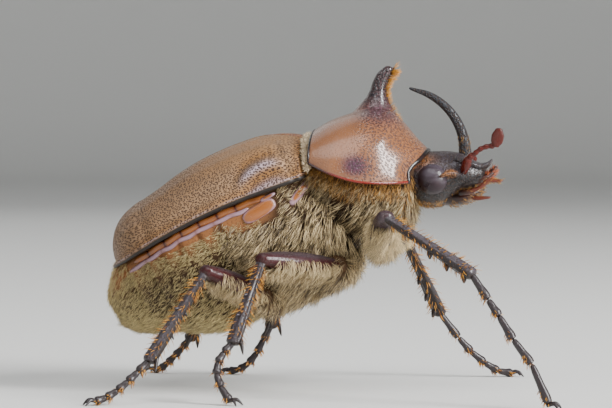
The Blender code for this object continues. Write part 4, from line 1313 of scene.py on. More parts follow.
@dataclass
class Trunk:
    """The body under the shells: chest, belly, tail plate, side plates and the bristly coat."""

    hind_rows: tuple = (
        (-3.0, -0.35, 4.4, 2.6, 6.8), (-1.5, -0.35, 6.3, 3.1, 9.7), (0.5, -0.35, 7.5, 3.9, 11.2),
        (2.5, -0.35, 8.3, 5.0, 11.4), (5.0, -0.35, 8.9, 5.5, 11.4), (9.0, -0.35, 9.4, 5.6, 11.2),
        (13.0, -0.35, 9.5, 5.4, 11.4), (17.0, -0.35, 8.8, 4.8, 10.5), (20.0, -0.4, 7.2, 3.6, 8.9),
        (22.2, -1.0, 6.0, 2.2, 7.4), (23.9, -2.2, 4.9, 1.7, 5.3), (25.0, -3.3, 3.6, 1.5, 3.1),
    )
    fore_rows: tuple = (
        (-0.3, 0.0, 7.4, 2.2, 4.2), (2.0, -0.5, 7.9, 4.6, 4.7), (5.0, -1.0, 7.8, 7.2, 5.0),
        (8.0, -0.7, 6.6, 6.1, 4.8), (10.2, -0.4, 5.3, 4.2, 4.3),
    )
    segments: tuple = (12.9, 15.4, 17.7, 19.9, 22.0, 24.5)
    front: float = 3.0  # how far the first row lies ahead of the hind frame's origin
    power: float = 2.2
    joint_gap: float = 2.15
    socket: tuple = (3.6, 20.6, 1.5, 1.7)  # the front leg's socket: its place, and half its length and height
    plates: tuple = (
        # place, height, half length, half height, slope in degrees, where the painted lilac sheen on its edge
        # starts
        (5.35, -1.42, 1.95, 0.74, 7.0, 0.86),
        (0.65, -1.45, 1.65, 0.45, 28.0, 0.55),
        (3.9, -0.45, 0.9, 0.22, 4.0, 0.5),
    )
    bands: tuple = (
        # first and last place, drop below the margin, half height, how much painted lilac sheen it has
        (5.2, 19.3, 0.72, 0.36, 0.0),
        (7.4, 20.3, 1.3, 0.25, 0.9),
    )

    def __post_init__(self) -> None:
        """Makes the lofts of the hind body and of the front of the thorax."""
        self.hind = Loft(
            body_rows(self.hind_rows), HIND, (1, 0, 0), power=self.power, domes=(0.05, 0.6), shelf=0.5,
            warp=lean_shoulders,
        )
        self.fore = Loft(body_rows(self.fore_rows), FORE, (1, 0, 0), power=2.1, domes=(0.1, 1.3))

    def build(self) -> None:
        """Makes the skin, the side plates and the coat."""
        piece = Forge.wrapped("body_skin", 150, 130, self.hind.wrap)
        self._crease(piece)
        Forge.fused(piece, [Forge.wrapped("fore_skin", 50, 80, self.fore.wrap)])
        x, _, z = HIND.into(Forge.points(piece)).T
        # Painted shade: the skin grows darker towards the underside; warm is the orange band along the
        # flanks.
        tone, warm = 0.4 + 0.6 * ease(-z, 2.0, 6.0), 0.85 * bell(z, -1.4, 1.3) * ease(x, 3.0, 6.0)
        nodes = ["prosternum", "metasternum", "abdomen", "pygidium"]
        Forge.done(piece, SKIN, "hairy_skin", nodes, 40.0, tone=tone, rim=warm, pit=0.5)
        self._side_plates()
        for side in Side:
            draw = np.random.default_rng(SEED + 20 + int(side.value))
            self._chest(side, draw)
            self._belly(side, draw)

    def _crease(self, piece: Thing) -> None:
        """Presses the joints between the belly's segments into its skin.

        Args:
            piece: the hind body's skin.
        """
        local = HIND.into(Forge.points(piece))
        x, y, z = local.T
        run = x + self.front
        fall = np.zeros(len(local))
        for place in self.segments:
            fall += 0.28 * bell(run, place, 0.22)
            fall += 0.12 * bell(run - place, 0.5, 0.6)  # the soft slope behind each joint
        fall *= ease(-z, 0.4, 1.2)
        out = unit(np.column_stack((np.zeros(len(local)), y / 9.0**2, (z + 0.35) / 11.0**2)))
        Forge.move(piece, HIND.out(local - out * fall[:, None]))

    def _side_plates(self) -> None:
        """The smooth orange plates between the coat and the wing cases."""
        for side in Side:
            things = [self._side_plate(side, *plate) for plate in self.plates]
            things += [self._band(side, *band) for band in self.bands]
            piece = Forge.joined(f"side_plates_{side.word}", things)
            Forge.done(piece, PLATE, "hairy_skin", sharp=60)

    def _band(self, side: Side, first: float, last: float, drop: float, high: float, lilac: float) -> Thing:
        """One jointed band that runs along the flank under the wing case.

        Args:
            side: which flank.
            first: its front end along the hind frame.
            last: its rear end.
            drop: how far it lies below the wing case's margin.
            high: half its height.
            lilac: how much painted lilac sheen it has, in the colour of the plates' edge.

        Returns:
            The band.
        """
        places = np.linspace(first, last, 26)
        wide = self.hind.sample(places + self.front)[:, 3]
        rows = [
            (x, side.value * (w - 0.13), float(bow(x)) - drop, 0.3, high, high) for x, w in zip(places, wide)
        ]
        form = Loft(rows, HIND, power=2.6, domes=(1.2, 1.2))
        joints = np.arange(first + 1.6 + drop, last, self.joint_gap)[:, None]

        def swell(x: Array) -> Array:
            """1 at a joint and 0 midway between two."""
            return 0.5 + 0.5 * np.cos(math.tau * (x - joints[0]) / self.joint_gap)

        def jointed(u: Array, v: Array) -> Array:
            """The band's skin, pinched at its joints.

            Args:
                u: share of the way along it.
                v: share of the way round it.

            Returns:
                Points in the beetle's frame.
            """
            points = HIND.into(form.wrap(u, v))
            x, y, z = points.T
            y -= side.value * 0.05 * (1.0 - lilac) * bell(x, joints, 0.09).max(axis=0)
            z += (0.09 * swell(x) - 0.05) * lilac + 0.04 * np.sin(x * 2.3)
            return HIND.out(points)

        piece = Forge.wrapped("side_band", 330, 18, jointed)
        x = HIND.into(Forge.points(piece))[:, 0]
        pinch = bell(x, joints, 0.14).max(axis=0) * (1.0 - 0.7 * lilac)
        shade = 0.35 * swell(x) ** 2
        # rim lays the painted lilac sheen, kept off the joints
        Forge.mark(piece, tone=0.1 + shade + 0.6 * pinch, rim=lilac * (1 - shade) * (1 - pinch), pit=0.2)
        return piece

    def _side_plate(
        self, side: Side, place: float, height: float, long: float, high: float, slope: float, edge: float
    ) -> Thing:
        """One oval plate lying on the flank.

        Args:
            side: which flank.
            place: its middle along the hind frame.
            height: its middle above the hind frame's level.
            long: half its length.
            high: half its height.
            slope: how far it turns up towards the head, in degrees.
            edge: share of the way out at which the painted lilac sheen on its edge starts.

        Returns:
            The plate.
        """
        turn = math.radians(slope)

        def points(u: Array, v: Array) -> Array:
            """The plate's skin, raised from the flank.

            Args:
                u: share of the way from its outer face to its inner one.
                v: share of the way round it.

            Returns:
                Points in the beetle's frame.
            """
            ring, face, way = np.sin(u * math.pi), np.cos(u * math.pi), math.tau * v
            a, b = long * ring * blunt(np.cos(way), 0.62), high * ring * blunt(np.sin(way), 0.7)
            x = place + a * math.cos(turn) + b * math.sin(turn)
            z = height - a * math.sin(turn) + b * math.cos(turn)
            values = self.hind.sample(x + self.front)
            down = np.clip(abs(z + 0.35) / values[:, 5], 0.0, 0.98)
            wide = values[:, 3] * (1.0 - down**self.power) ** (1 / self.power)
            return HIND.out(np.column_stack((x, side.value * (wide + 0.34 * blunt(face, 0.7) + 0.02), z)))

        piece = Forge.wrapped("side_plate", 22, 30, points)
        x, _, z = HIND.into(Forge.points(piece)).T
        a, b = x - place, z - height
        ahead, above = a * math.cos(turn) - b * math.sin(turn), a * math.sin(turn) + b * math.cos(turn)
        gap = np.hypot(ahead / long, above / high)
        # rim lays a painted lilac sheen round the plate's edge
        Forge.mark(piece, tone=0.1, rim=0.8 * ease(gap, edge, edge + 0.2), pit=0.2)
        return piece

    @staticmethod
    def _strewn(draw: Chance, count: int, places: tuple, degrees: tuple) -> tuple:
        """Random lengths along a form and turns below its flank, the turns in radians."""
        return draw.uniform(*places, count), np.radians(draw.uniform(*degrees, count))

    def _chest(self, side: Side, draw: Chance) -> None:
        """Long pale bristles on one side of the chest, swept back and down, golden under the shield.

        Args:
            side: which side.
            draw: the source of chance.
        """
        length = self.fore.length
        hairs = Hairs(
            f"chest_coat_{side.word}", PALE_HAIR, draw, 0.072, lifts=(0.85, 0.5, 0.3), clump=0.55, clumps=620,
            stray=0.24,
        )
        place, below = self._strewn(draw, 6400, (1.2, 13.4), (-5.0, 92.0))
        keep = np.degrees(below) > -5.0 + 15.0 * ease(place, 5.0, 6.6) - 8.0 * ease(place, 10.5, 12.5)
        place, below = place[keep], below[keep]
        reach = (2.8 - 1.7 * ease(place, 10.0, 13.4)) * (0.45 + 0.55 * ease(np.degrees(below), 6.0, 16.0))
        hairs.on(self.hind, place, around(side, below), self._lie(side, below), reach, (-0.15, 1.0))
        place, below = self._strewn(draw, 5200, (0.3, length + 1.0), (3.0, 92.0))
        roots = self.fore.at(place, around(side, below))[:, (0, 2)]
        hollow = np.linalg.norm((roots - self.socket[:2]) / self.socket[2:], axis=1) < 1.0
        keep = ~hollow | (draw.random(len(place)) < 0.12)
        place, below = place[keep], below[keep]
        reach = 2.6 - 1.2 * (1.0 - ease(below, 0.1, 0.7))
        hairs.on(self.fore, place, around(side, below), self._lie(side, below), reach, (-0.1, 0.8))
        hairs.build("hairy_skin")
        hairs = Hairs(f"collar_fringe_{side.word}", GOLD_HAIR, draw, 0.06, lifts=(1.0, 0.5, 0.3), stray=0.2)
        place, below = self._strewn(draw, 900, (0.0, length), (-6.0, 14.0))
        hairs.on(self.fore, place, around(side, below), (-0.35, 0.5 * side.value, -0.8), 1.5)
        place, below = self._strewn(draw, 500, (0.0, 1.2), (-20.0, 92.0))
        hairs.on(self.fore, length + place, around(side, below), (-0.2, 0.3 * side.value, -1.0), 1.1)
        hairs.build("bristle")

    def _belly(self, side: Side, draw: Chance) -> None:
        """Short dense golden hair on one side of the belly and the tail plate.

        Args:
            side: which side.
            draw: the source of chance.
        """
        length, out = self.hind.length, side.value
        hairs = Hairs(
            f"belly_coat_{side.word}", BELLY_HAIR, draw, 0.055, lifts=(0.6, 0.35, 0.2), clump=0.3,
            clumps=1300, stray=0.24,
        )
        place, below = self._strewn(draw, 8800, (11.0, length), (2.0, 92.0))
        keep = np.degrees(below) > 7.0 - 5.0 * ease(place, 19.0, 22.0)
        place, below = place[keep], below[keep]
        reach = 0.7 + 0.5 * ease(below, 0.5, 1.1)
        hairs.on(self.hind, place, around(side, below), self._lie(side, below), reach, (0.15, 1.0))
        place, below = self._strewn(draw, 1500, (24.0, length + 0.5), (-90.0, 92.0))
        hairs.on(self.hind, place, around(side, below), (-0.4, 0.2 * out, -1.0), 0.9, (0.3, 1.0))
        place, below = self._strewn(draw, 1500, (8.5, 26.0), (4.5, 14.0))
        hairs.on(self.hind, place, around(side, below), (-1.0, 0.1 * out, -0.5), 0.55, (0.1, 0.9))
        hairs.build("hairy_skin")

    @staticmethod
    def _lie(side: Side, below: Array) -> Array:
        """The coat's flow: back and down on the flanks, straight back under the belly."""
        down = 0.95 * (1.0 - ease(below, 0.8, 1.5))
        return np.column_stack((np.full(len(below), -0.8), np.full(len(below), 0.1 * side.value), -down))


@dataclass
class Head:
    """The head capsule, its horn, eyes, feelers and mouthparts."""

    rows: tuple = (
        (9.6, 23.3, 3.3, 1.6, 1.9), (11.0, 23.4, 4.0, 2.5, 2.8), (12.2, 23.4, 4.2, 2.9, 3.1),
        (13.4, 23.4, 4.1, 2.95, 3.0), (14.6, 23.5, 3.8, 2.8, 2.3), (15.8, 23.7, 3.4, 2.35, 1.7),
        (16.9, 23.8, 2.9, 1.6, 1.45), (17.9, 23.9, 2.2, 1.0, 1.15),
    )
    front_rows: tuple = (
        (15.2, 25.5, 3.3, 0.4, 0.7), (16.6, 25.15, 3.1, 0.35, 0.6), (17.9, 24.75, 2.5, 0.3, 0.5),
        (18.6, 24.95, 1.9, 0.28, 0.4), (19.0, 25.35, 1.45, 0.22, 0.3),
    )
    eye: tuple = (12.65, 3.35, 23.3)
    eye_radii: tuple = (1.72, 1.52, 1.7)
    bar: tuple = ((15.6, -3.3, 23.5), (14.8, -4.1, 24.0), (14.2, -4.5, 23.9), (13.7, -4.7, 23.65))
    bar_radii: tuple = (0.8, 0.62, 0.5, 0.35)
    horn_centre: tuple = (8.95, 0.0, 26.1)
    horn_arc: float = 7.1
    horn_turns: tuple = (-11.0, 88.0)
    horn_radii: tuple = (0.85, 0.7, 0.6, 0.55, 0.51, 0.47, 0.42, 0.34, 0.2)
    stalks: dict = field(default_factory=lambda: {
        Side.RIGHT: (
            (15.9, -2.7, 23.9), (16.35, -3.7, 24.9), (16.7, -4.3, 25.65), (17.3, -4.6, 26.1),
            (17.95, -4.8, 26.6), (18.6, -4.9, 26.85), (19.35, -5.0, 26.95),
        ),
        Side.LEFT: (
            (15.9, 2.7, 23.9), (16.3, 4.0, 24.4), (16.6, 5.0, 24.9), (16.75, 5.8, 25.2), (16.8, 6.6, 25.4),
            (16.7, 7.4, 25.5), (16.5, 8.1, 25.5),
        ),
    })
    stalk_radii: tuple = (0.42, 0.52, 0.42, 0.3, 0.3, 0.3, 0.34)
    clubs: dict = field(default_factory=lambda: {
        Side.RIGHT: ((19.6, -5.0, 26.85), (19.9, -5.0, 28.6)),
        Side.LEFT: ((16.35, 8.3, 25.45), (15.75, 10.3, 25.6)),
    })
    leaf: tuple = ((0.0, 0.45), (0.3, 0.95), (0.65, 1.0), (1.0, 0.6))  # way along a leaf, share of its width
    leaf_width: float = 0.66
    jaw: tuple = ((15.8, 1.2, 23.5), (17.4, 1.5, 23.3), (18.7, 1.15, 23.7), (19.35, 0.75, 24.5))
    jaw_radii: tuple = (0.6, 0.6, 0.45, 0.28)
    palp: tuple = (
        (15.6, 2.1, 21.8), (16.6, 2.5, 21.95), (17.7, 2.7, 22.35), (18.6, 2.7, 23.1), (20.0, 2.6, 23.05),
    )
    palp_radii: tuple = (0.3, 0.28, 0.22, 0.26, 0.1)
    lip: tuple = (
        (13.9, 0.0, 21.2, 2.0, 0.9, 0.9), (15.4, 0.0, 21.2, 1.9, 0.85, 0.85),
        (16.9, 0.0, 21.7, 1.5, 0.7, 0.7), (17.9, 0.0, 22.2, 0.9, 0.4, 0.4),
    )
    lip_palp: tuple = ((16.2, 0.9, 21.4), (17.4, 1.15, 21.2), (18.7, 1.2, 21.25))
    lip_palp_radii: tuple = (0.26, 0.24, 0.1)
    voxel: float = 0.1

    def __post_init__(self) -> None:
        """Makes the lofts of the capsule, the front plate and the horn."""
        self.capsule = Loft(body_rows(self.rows), ahead=(1, 0, 0), power=2.2, domes=(0.1, 0.5))
        self.plate = Loft(body_rows(self.front_rows), ahead=(1, 0, 0), power=2.6, domes=(0.1, 0.1))
        self.chin = Loft(self.lip, domes=(0.1, 0.3))
        turns = np.radians(self.horn_turns[0] + np.linspace(0, self.horn_turns[1], len(self.horn_radii)))
        spots = np.array(self.horn_centre) + self.horn_arc * np.column_stack(
            (np.cos(turns), np.zeros(len(turns)), np.sin(turns))
        )
        self.horn = tube(spots, self.horn_radii, up=(0, 1, 0), domes=(0.05, 0.7))

    def build(self) -> None:
        """Makes every piece of the head."""
        self._capsule()
        horn = Forge.wrapped("brow_horn", 90, 32, self.horn.wrap)
        Forge.done(horn, HORN, "horn", ["head_horn"], tone=0.3, pit=1.0)
        for side in Side:
            self._eye(side)
            self._feeler(side)
            self._mouth_side(side)
        self._lip()
        self._beard()

    def _capsule(self) -> None:
        """The head's shell with its front plate and the bars across the eyes, as one skin."""
        piece = Forge.wrapped("head_capsule", 60, 72, self.capsule.wrap)
        others = [Forge.wrapped("front_plate", 40, 48, self.plate.wrap)]
        for side in Side:
            form = tube(mirrored(self.bar, -side.value), self.bar_radii, 0.5, domes=(0.1, 0.2))
            others.append(Forge.wrapped("bar", 24, 16, form.wrap))
        Forge.fused(piece, others, self.voxel)
        Forge.modified(piece, "SMOOTH", factor=0.5, iterations=6)
        points = Forge.points(piece)
        bar = np.minimum(*(self._bar_gap(points, side) for side in Side))
        patch = (abs(points) - (11.3, 2.7, 25.3)) / (1.3, 1.8, 0.8)
        warm = np.maximum(0.8 * (1.0 - ease(bar, 0.4, 0.8)), 0.8 * np.exp(-np.sum(patch**2, axis=1)))
        under = 0.35 * (points[:, 0] - 13.0) - points[:, 2]
        tone = 0.4 * ease(points[:, 2], 24.0, 26.0) + ease(under, -23.5, -22.5)
        Forge.done(piece, HEAD_SHELL, "head", ["head"], 70.0, tone=tone, rim=warm, pit=1.0)

    def _bar_gap(self, points: Array, side: Side) -> Array:
        """How far points lie from the bar across one eye."""
        spots = spread(*mirrored((self.bar[1], self.bar[3]), -side.value), 8)
        return np.linalg.norm(points[:, None] - spots[None], axis=2).min(axis=1)

    def _eye(self, side: Side) -> None:
        """A compound eye set into the side of the head.

        Args:
            side: which side.
        """
        x, y, z = self.eye
        y *= side.value
        long, wide, high = self.eye_radii
        rows = [(at, y, z, wide, high, high) for at in (x - 0.01, x + 0.01)]
        form = Loft(rows, ahead=(1, 0, 0), domes=(long, long))
        piece = Forge.wrapped(f"eye_ball_{side.word}", 40, 48, form.wrap)
        points = Forge.points(piece)
        # Painted sheen and shade: pale rings on the eye's upper part, and its lower part darker.
        swirl = np.linalg.norm((points - (x - 0.3, y, z + 0.7)) / (1.5, 9.0, 0.8), axis=1)
        upper = 0.35 + 0.3 * np.cos(9.0 * swirl)
        low = 1.0 - ease(points[:, 2] + 0.25 * (points[:, 0] - x), z - 0.6, z + 0.3)
        Forge.done(piece, EYE, "eye", [f"eye_{side.word}"], tone=upper + (1.0 - upper) * low, pit=1.0)

    def _feeler(self, side: Side) -> None:
        """A feeler: its jointed stalk and the leaves of its club.

        Args:
            side: which side.
        """
        form = tube(self.stalks[side], self.stalk_radii, domes=(0.1, 0.2))

        def beads(u: Array, v: Array) -> Array:
            """The stalk's skin, pinched between its joints.

            Args:
                u: share of the way along it.
                v: share of the way round it.

            Returns:
                Points in the beetle's frame.
            """
            points = form.wrap(u, v)
            place = np.clip(u * form.length, 0, form.length)
            pinch = 0.2 * ease(place, 2.1, 2.5) * (0.5 + 0.5 * np.cos(place / 0.62 * math.tau))
            return points + (form.sample(place)[:, :3] - points) * pinch[:, None]

        stalk = Forge.wrapped(f"feeler_stalk_{side.word}", 90, 20, beads)
        Forge.done(stalk, FEELER, "feeler", [f"antenna_{side.word}"], tone=0.3, pit=0.3)
        root, tip = np.array(self.clubs[side])
        across = unit(np.cross(tip - root, (1.0, 0.0, 0.0)))
        leaves = []
        for fan in (-1.0, 0.0, 1.0):
            rows = []
            for way, share in self.leaf:
                spot = root + (tip - root) * way + across * fan * (0.22 + 0.3 * way)
                rows.append((*spot, 0.2, self.leaf_width * share, self.leaf_width * share))
            leaf = Loft(rows, up=tuple(np.cross(across, tip - root)), domes=(0.1, 0.25))
            leaves.append(Forge.wrapped("leaf", 30, 24, leaf.wrap))
        club = Forge.joined(f"feeler_club_{side.word}", leaves)
        Forge.done(club, FEELER, "feeler", [f"antenna_club_{side.word}"], tone=0.6, pit=0.4)

    def _mouth_side(self, side: Side) -> None:
        """The jaw and the long palp of one side.

        Args:
            side: which side.
        """
        jaw = tube(mirrored(self.jaw, side.value), self.jaw_radii, 0.7, domes=(0.1, 0.2))
        piece = Forge.wrapped(f"jaw_{side.word}", 40, 24, jaw.wrap)
        Forge.done(piece, MOUTH, "mouthpart", [f"mandible_{side.word}"], tone=0.8, pit=0.3)
        palp = tube(mirrored(self.palp, side.value), self.palp_radii, domes=(0.1, 0.15))
        piece = Forge.wrapped(f"long_palp_{side.word}", 60, 18, palp.wrap)
        tone = 0.9 - 0.8 * ease(Forge.points(piece)[:, 0], 15.6, 17.8)
        Forge.done(piece, MOUTH, "mouthpart", [f"palp_{side.word}"], tone=tone, pit=0.3)

    def _lip(self) -> None:
        """The lower lip with its two short palps."""
        things = [Forge.wrapped("lip", 40, 32, self.chin.wrap)]
        Forge.mark(things[0], tone=0.85, pit=0.8)
        for side in Side:
            form = tube(mirrored(self.lip_palp, side.value), self.lip_palp_radii, domes=(0.1, 0.15))
            things.append(Forge.wrapped("lip_palp", 30, 16, form.wrap))
            Forge.mark(things[-1], tone=0.15, pit=0.3)
        Forge.done(Forge.joined("lower_lip", things), MOUTH, "mouthpart", ["labium"])

    def _beard(self) -> None:
        """Bristles under the head, round the mouth, on the palps and at the foot of the horn."""
        draw = np.random.default_rng(SEED + 3)
        hairs = Hairs("head_bristles", GOLD_HAIR, draw, 0.07, lifts=(1.0, 0.6, 0.3), stray=0.25)
        for side in Side:
            place = self.capsule.length * draw.beta(0.8, 1.6, 340)
            angle = around(side, np.radians(draw.uniform(48.0, 92.0, 340)))
            hairs.on(self.capsule, place, angle, (0.3, 0.1 * side.value, -1.0), 0.7)
            palp = tube(mirrored(self.palp, side.value), self.palp_radii)
            hairs.on(palp, *hairs.sown(90, (0.8, palp.length - 0.1)), (0.8, 0.0, 0.0), 0.55)
        below = (math.pi, math.tau)
        hairs.on(self.chin, *hairs.sown(220, (0.4, self.chin.length), below), (0.7, 0.0, -0.5), 0.6)
        hairs.on(self.horn, *hairs.sown(130, (0.3, 3.0)), (0.0, 0.0, 1.0), 0.45)
        hairs.build("bristle")
        hairs = Hairs("mouth_bristles", RED_HAIR, draw, 0.09, lifts=(1.4, 0.9, 0.5), stray=0.35)
        for side in Side:
            jaw = tube(mirrored(self.jaw, side.value), self.jaw_radii, 0.7)
            hairs.on(jaw, *hairs.sown(110, (0.8, jaw.length)), (0.9, 0.0, 0.5), 0.6, (0.1, 1.0))
        hairs.build("bristle")


@dataclass
class Leg:
    """One leg: coxa, thigh, shin and foot with its claws, and its bristles."""

    name: str
    root: tuple
    hip: tuple
    knee: tuple
    ankle: tuple
    foot: tuple
    foot_side: tuple
    fringe: tuple  # first and last share of the thigh, hairs, length
    coxa_radii: tuple = (1.7, 1.55, 1.25)
    thigh_radii: tuple = (0.95, 1.35, 1.5, 1.35, 0.95)
    shin_radii: tuple = (0.62, 0.6, 0.66, 0.8, 0.86)
    segment: tuple = ((0.0, 0.26), (0.12, 0.34), (0.5, 0.4), (0.8, 0.5), (0.95, 0.42))  # way along it, radius
    claw: tuple = (0.74, 1.35)  # reach of its middle and of its tip
    claw_turn: float = 0.5585
    spikes: tuple = (
        # share of the shin, angle round it, reach, lean along it, radius at root and tip
        *((0.97, angle, 1.5, 2.0, 0.24, 0.06) for angle in (-0.6, -2.5)),
        *((share, angle, 0.45, 0.7, 0.14, 0.03) for share in (0.45, 0.7) for angle in (-2.2, -0.9, 1.4)),
    )
    front_spikes: tuple = tuple((share, -math.pi / 2, 0.6, 0.6, 0.35, 0.14) for share in (0.55, 0.75, 0.95))

    def __post_init__(self) -> None:
        """Makes the lofts of the four parts."""
        self.coxa = tube(spread(self.root, self.hip, 3), self.coxa_radii, domes=(0.1, 1.0))
        self.thigh = tube(spread(self.hip, self.knee, 5), self.thigh_radii, 0.75, domes=(0.5, 0.7))
        self.shin = tube(spread(self.knee, self.ankle, 5), self.shin_radii, 0.8, domes=(0.1, 0.4))
        sides = np.linspace(*self.foot_side, len(self.foot))
        self.bends = [np.array(self.ankle)] + [np.array((x, y, z)) for (x, z), y in zip(self.foot, sides)]

    def build(self) -> None:
        """Makes the leg's pieces and bristles."""
        coxa = Forge.wrapped(f"leg_root_{self.name}", 40, 40, self.coxa.wrap)
        Forge.done(coxa, SKIN, "leg", [f"coxa_{self.name}"], tone=0.2, pit=0.6)
        thigh = Forge.wrapped(f"thigh_{self.name}", 70, 40, self.thigh.wrap)
        # Painted highlight: the lilac-grey second colour along each thigh's top; the front thighs take it
        # nearly all over.
        tone = np.maximum(ease(self._above(thigh, self.thigh), 0.2, 0.85), 0.8 * self.front)
        Forge.done(thigh, THIGH, "leg", [f"femur_{self.name}"], tone=tone, pit=0.7)
        self._shin()
        self._foot()
        self._bristles()

    @property
    def side(self) -> Side:
        """The side that its name ends in."""
        return Side[self.name.rpartition("_")[2].upper()]

    @property
    def front(self) -> bool:
        """Whether it is one of the two front legs."""
        return self.name.startswith("front")

    @staticmethod
    def _above(piece: Thing, form: Loft) -> Array:
        """How far a piece's vertices lie above the nearest places on a form's spine.

        Args:
            piece: the piece.
            form: the loft whose spine it follows.

        Returns:
            A height in mm for each vertex.
        """
        points = Forge.points(piece)
        spine = form.sample(np.linspace(0, form.length, 60))[:, :3]
        nearest = np.linalg.norm(points[:, None] - spine[None], axis=2).argmin(axis=1)
        return points[:, 2] - spine[nearest, 2]

    def _shin(self) -> None:
        """The shin, with teeth along its outer edge or spurs at its end."""

        def ridged(u: Array, v: Array) -> Array:
            """The shin's skin with its lengthwise ridges.

            Args:
                u: share of the way along it.
                v: share of the way round it.

            Returns:
                Points in the beetle's frame.
            """
            points = self.shin.wrap(u, v)
            middle = self.shin.sample(u * self.shin.length)[:, :3]
            ridge = 0.05 * np.cos(v * math.tau * 7.0) * ease(u, 0.05, 0.2) * (1 - ease(u, 0.9, 1.0))
            return points + unit(points - middle) * ridge[:, None]

        things = [Forge.wrapped("shin", 90, 42, ridged)]
        for share, angle, reach, along, root, tip in self.front_spikes if self.front else self.spikes:
            place = np.array([share * self.shin.length])
            spot, out = self.shin.skin(place, angle)[0], self.shin.outward(place, np.array([angle]))[0]
            way = unit(out + along * self.shin.compass(place)[0][0])
            spots = (spot - way * 0.35, spot + way * reach * 0.5, spot + way * reach)
            form = tube(spots, (root, root * 0.8, tip), domes=(0.05, tip))
            things.append(Forge.wrapped("spike", 10, 10, form.wrap))
        piece = Forge.joined(f"shin_{self.name}", things)
        # Painted highlight: the shin's upper side takes the pale base colour, its lower side the dark second
        # colour.
        tone = 1.0 - ease(self._above(piece, self.shin), -0.15, 0.35)
        Forge.done(piece, SHIN, "leg", [f"tibia_{self.name}"], tone=tone, pit=0.8)

    def _foot(self) -> None:
        """The foot's five segments and its two claws."""
        things = []
        for near, far in zip(self.bends, self.bends[1:]):
            rows = [(*(near + (far - near) * share), wide, wide, wide) for share, wide in self.segment]
            things.append(Forge.wrapped("segment", 22, 20, Loft(rows, domes=(0.08, 0.12)).wrap))
        end = self.bends[-1]
        ahead = unit((end - self.bends[-2]) * (1.0, 1.0, 0.0))
        across = np.array((-ahead[1], ahead[0], 0.0))
        for turn in (-self.claw_turn, self.claw_turn):
            way = ahead * math.cos(turn) + across * math.sin(turn)
            middle, tip = (end + way * reach for reach in self.claw)
            middle[2] += 0.16
            tip[2] = 0.08
            form = tube((end - ahead * 0.25, middle, tip), (0.24, 0.2, 0.07), domes=(0.05, 0.07))
            things.append(Forge.wrapped("claw", 24, 12, form.wrap))
        piece = Forge.joined(f"foot_{self.name}", things)
        points = Forge.points(piece)
        points[:, 2] = np.maximum(points[:, 2], 0.0)
        Forge.move(piece, points)
        Forge.done(piece, SHIN, "leg", [f"tarsus_{self.name}"], tone=0.7, pit=0.5)

    def _bristles(self) -> None:
        """The fringe under the thigh and the short bristles of shin and foot."""
        draw = np.random.default_rng(SEED + sum(map(ord, self.name)))
        start, end, count, reach = self.fringe
        out, under = self.side.value, -math.pi / 2
        hairs = Hairs(
            f"fringe_{self.name}", PALE_HAIR, draw, 0.06, lifts=(0.9, 0.7, 0.5), clump=0.3, clumps=90,
        )
        share, turn = hairs.sown(count, (start, end), (-0.5, 0.9))
        place, angle = self.thigh.length * share, under + out * turn
        hairs.on(self.thigh, place, angle, (-0.3, out * 0.3, -1.0), reach, (0.1, 1.0))
        place = self.thigh.length * draw.uniform(0.0, 0.85, count // 2)
        for way in (-out, out):
            angle = under + way * draw.uniform(0.3, 2.0, count // 2)
            hairs.on(self.thigh, place, angle, (-0.2, out * 0.3, -1.0), 1.4, (0.5, 1.0))
        flow = unit(np.array(self.hip) - self.root) + (-0.6, 0.0, -0.9)
        hairs.on(self.coxa, *hairs.sown(700, (0.8, self.coxa.length + 0.95)), flow, 1.9)
        hairs.build("bristle")
        hairs = Hairs(f"bristles_{self.name}", ORANGE_HAIR, draw, lifts=(1.5, 1.3, 1.1), stray=0.2)
        ahead = self.shin.compass(np.array([self.shin.length / 2]))[0][0]
        share, angle = hairs.sown(190, (0.08, 1.0))
        hairs.on(self.shin, self.shin.length * share, angle, ahead, 1.0)
        for near, far in zip(self.bends, self.bends[1:]):
            form = tube((near, (near + far) / 2, far), (0.36, 0.5, 0.5))
            share, angle = hairs.sown(26, (0.6, 0.98), (math.pi * 0.9, math.pi * 2.1))
            hairs.on(form, form.length * share, angle, unit(far - near), 0.6)
        hairs.build("bristle")


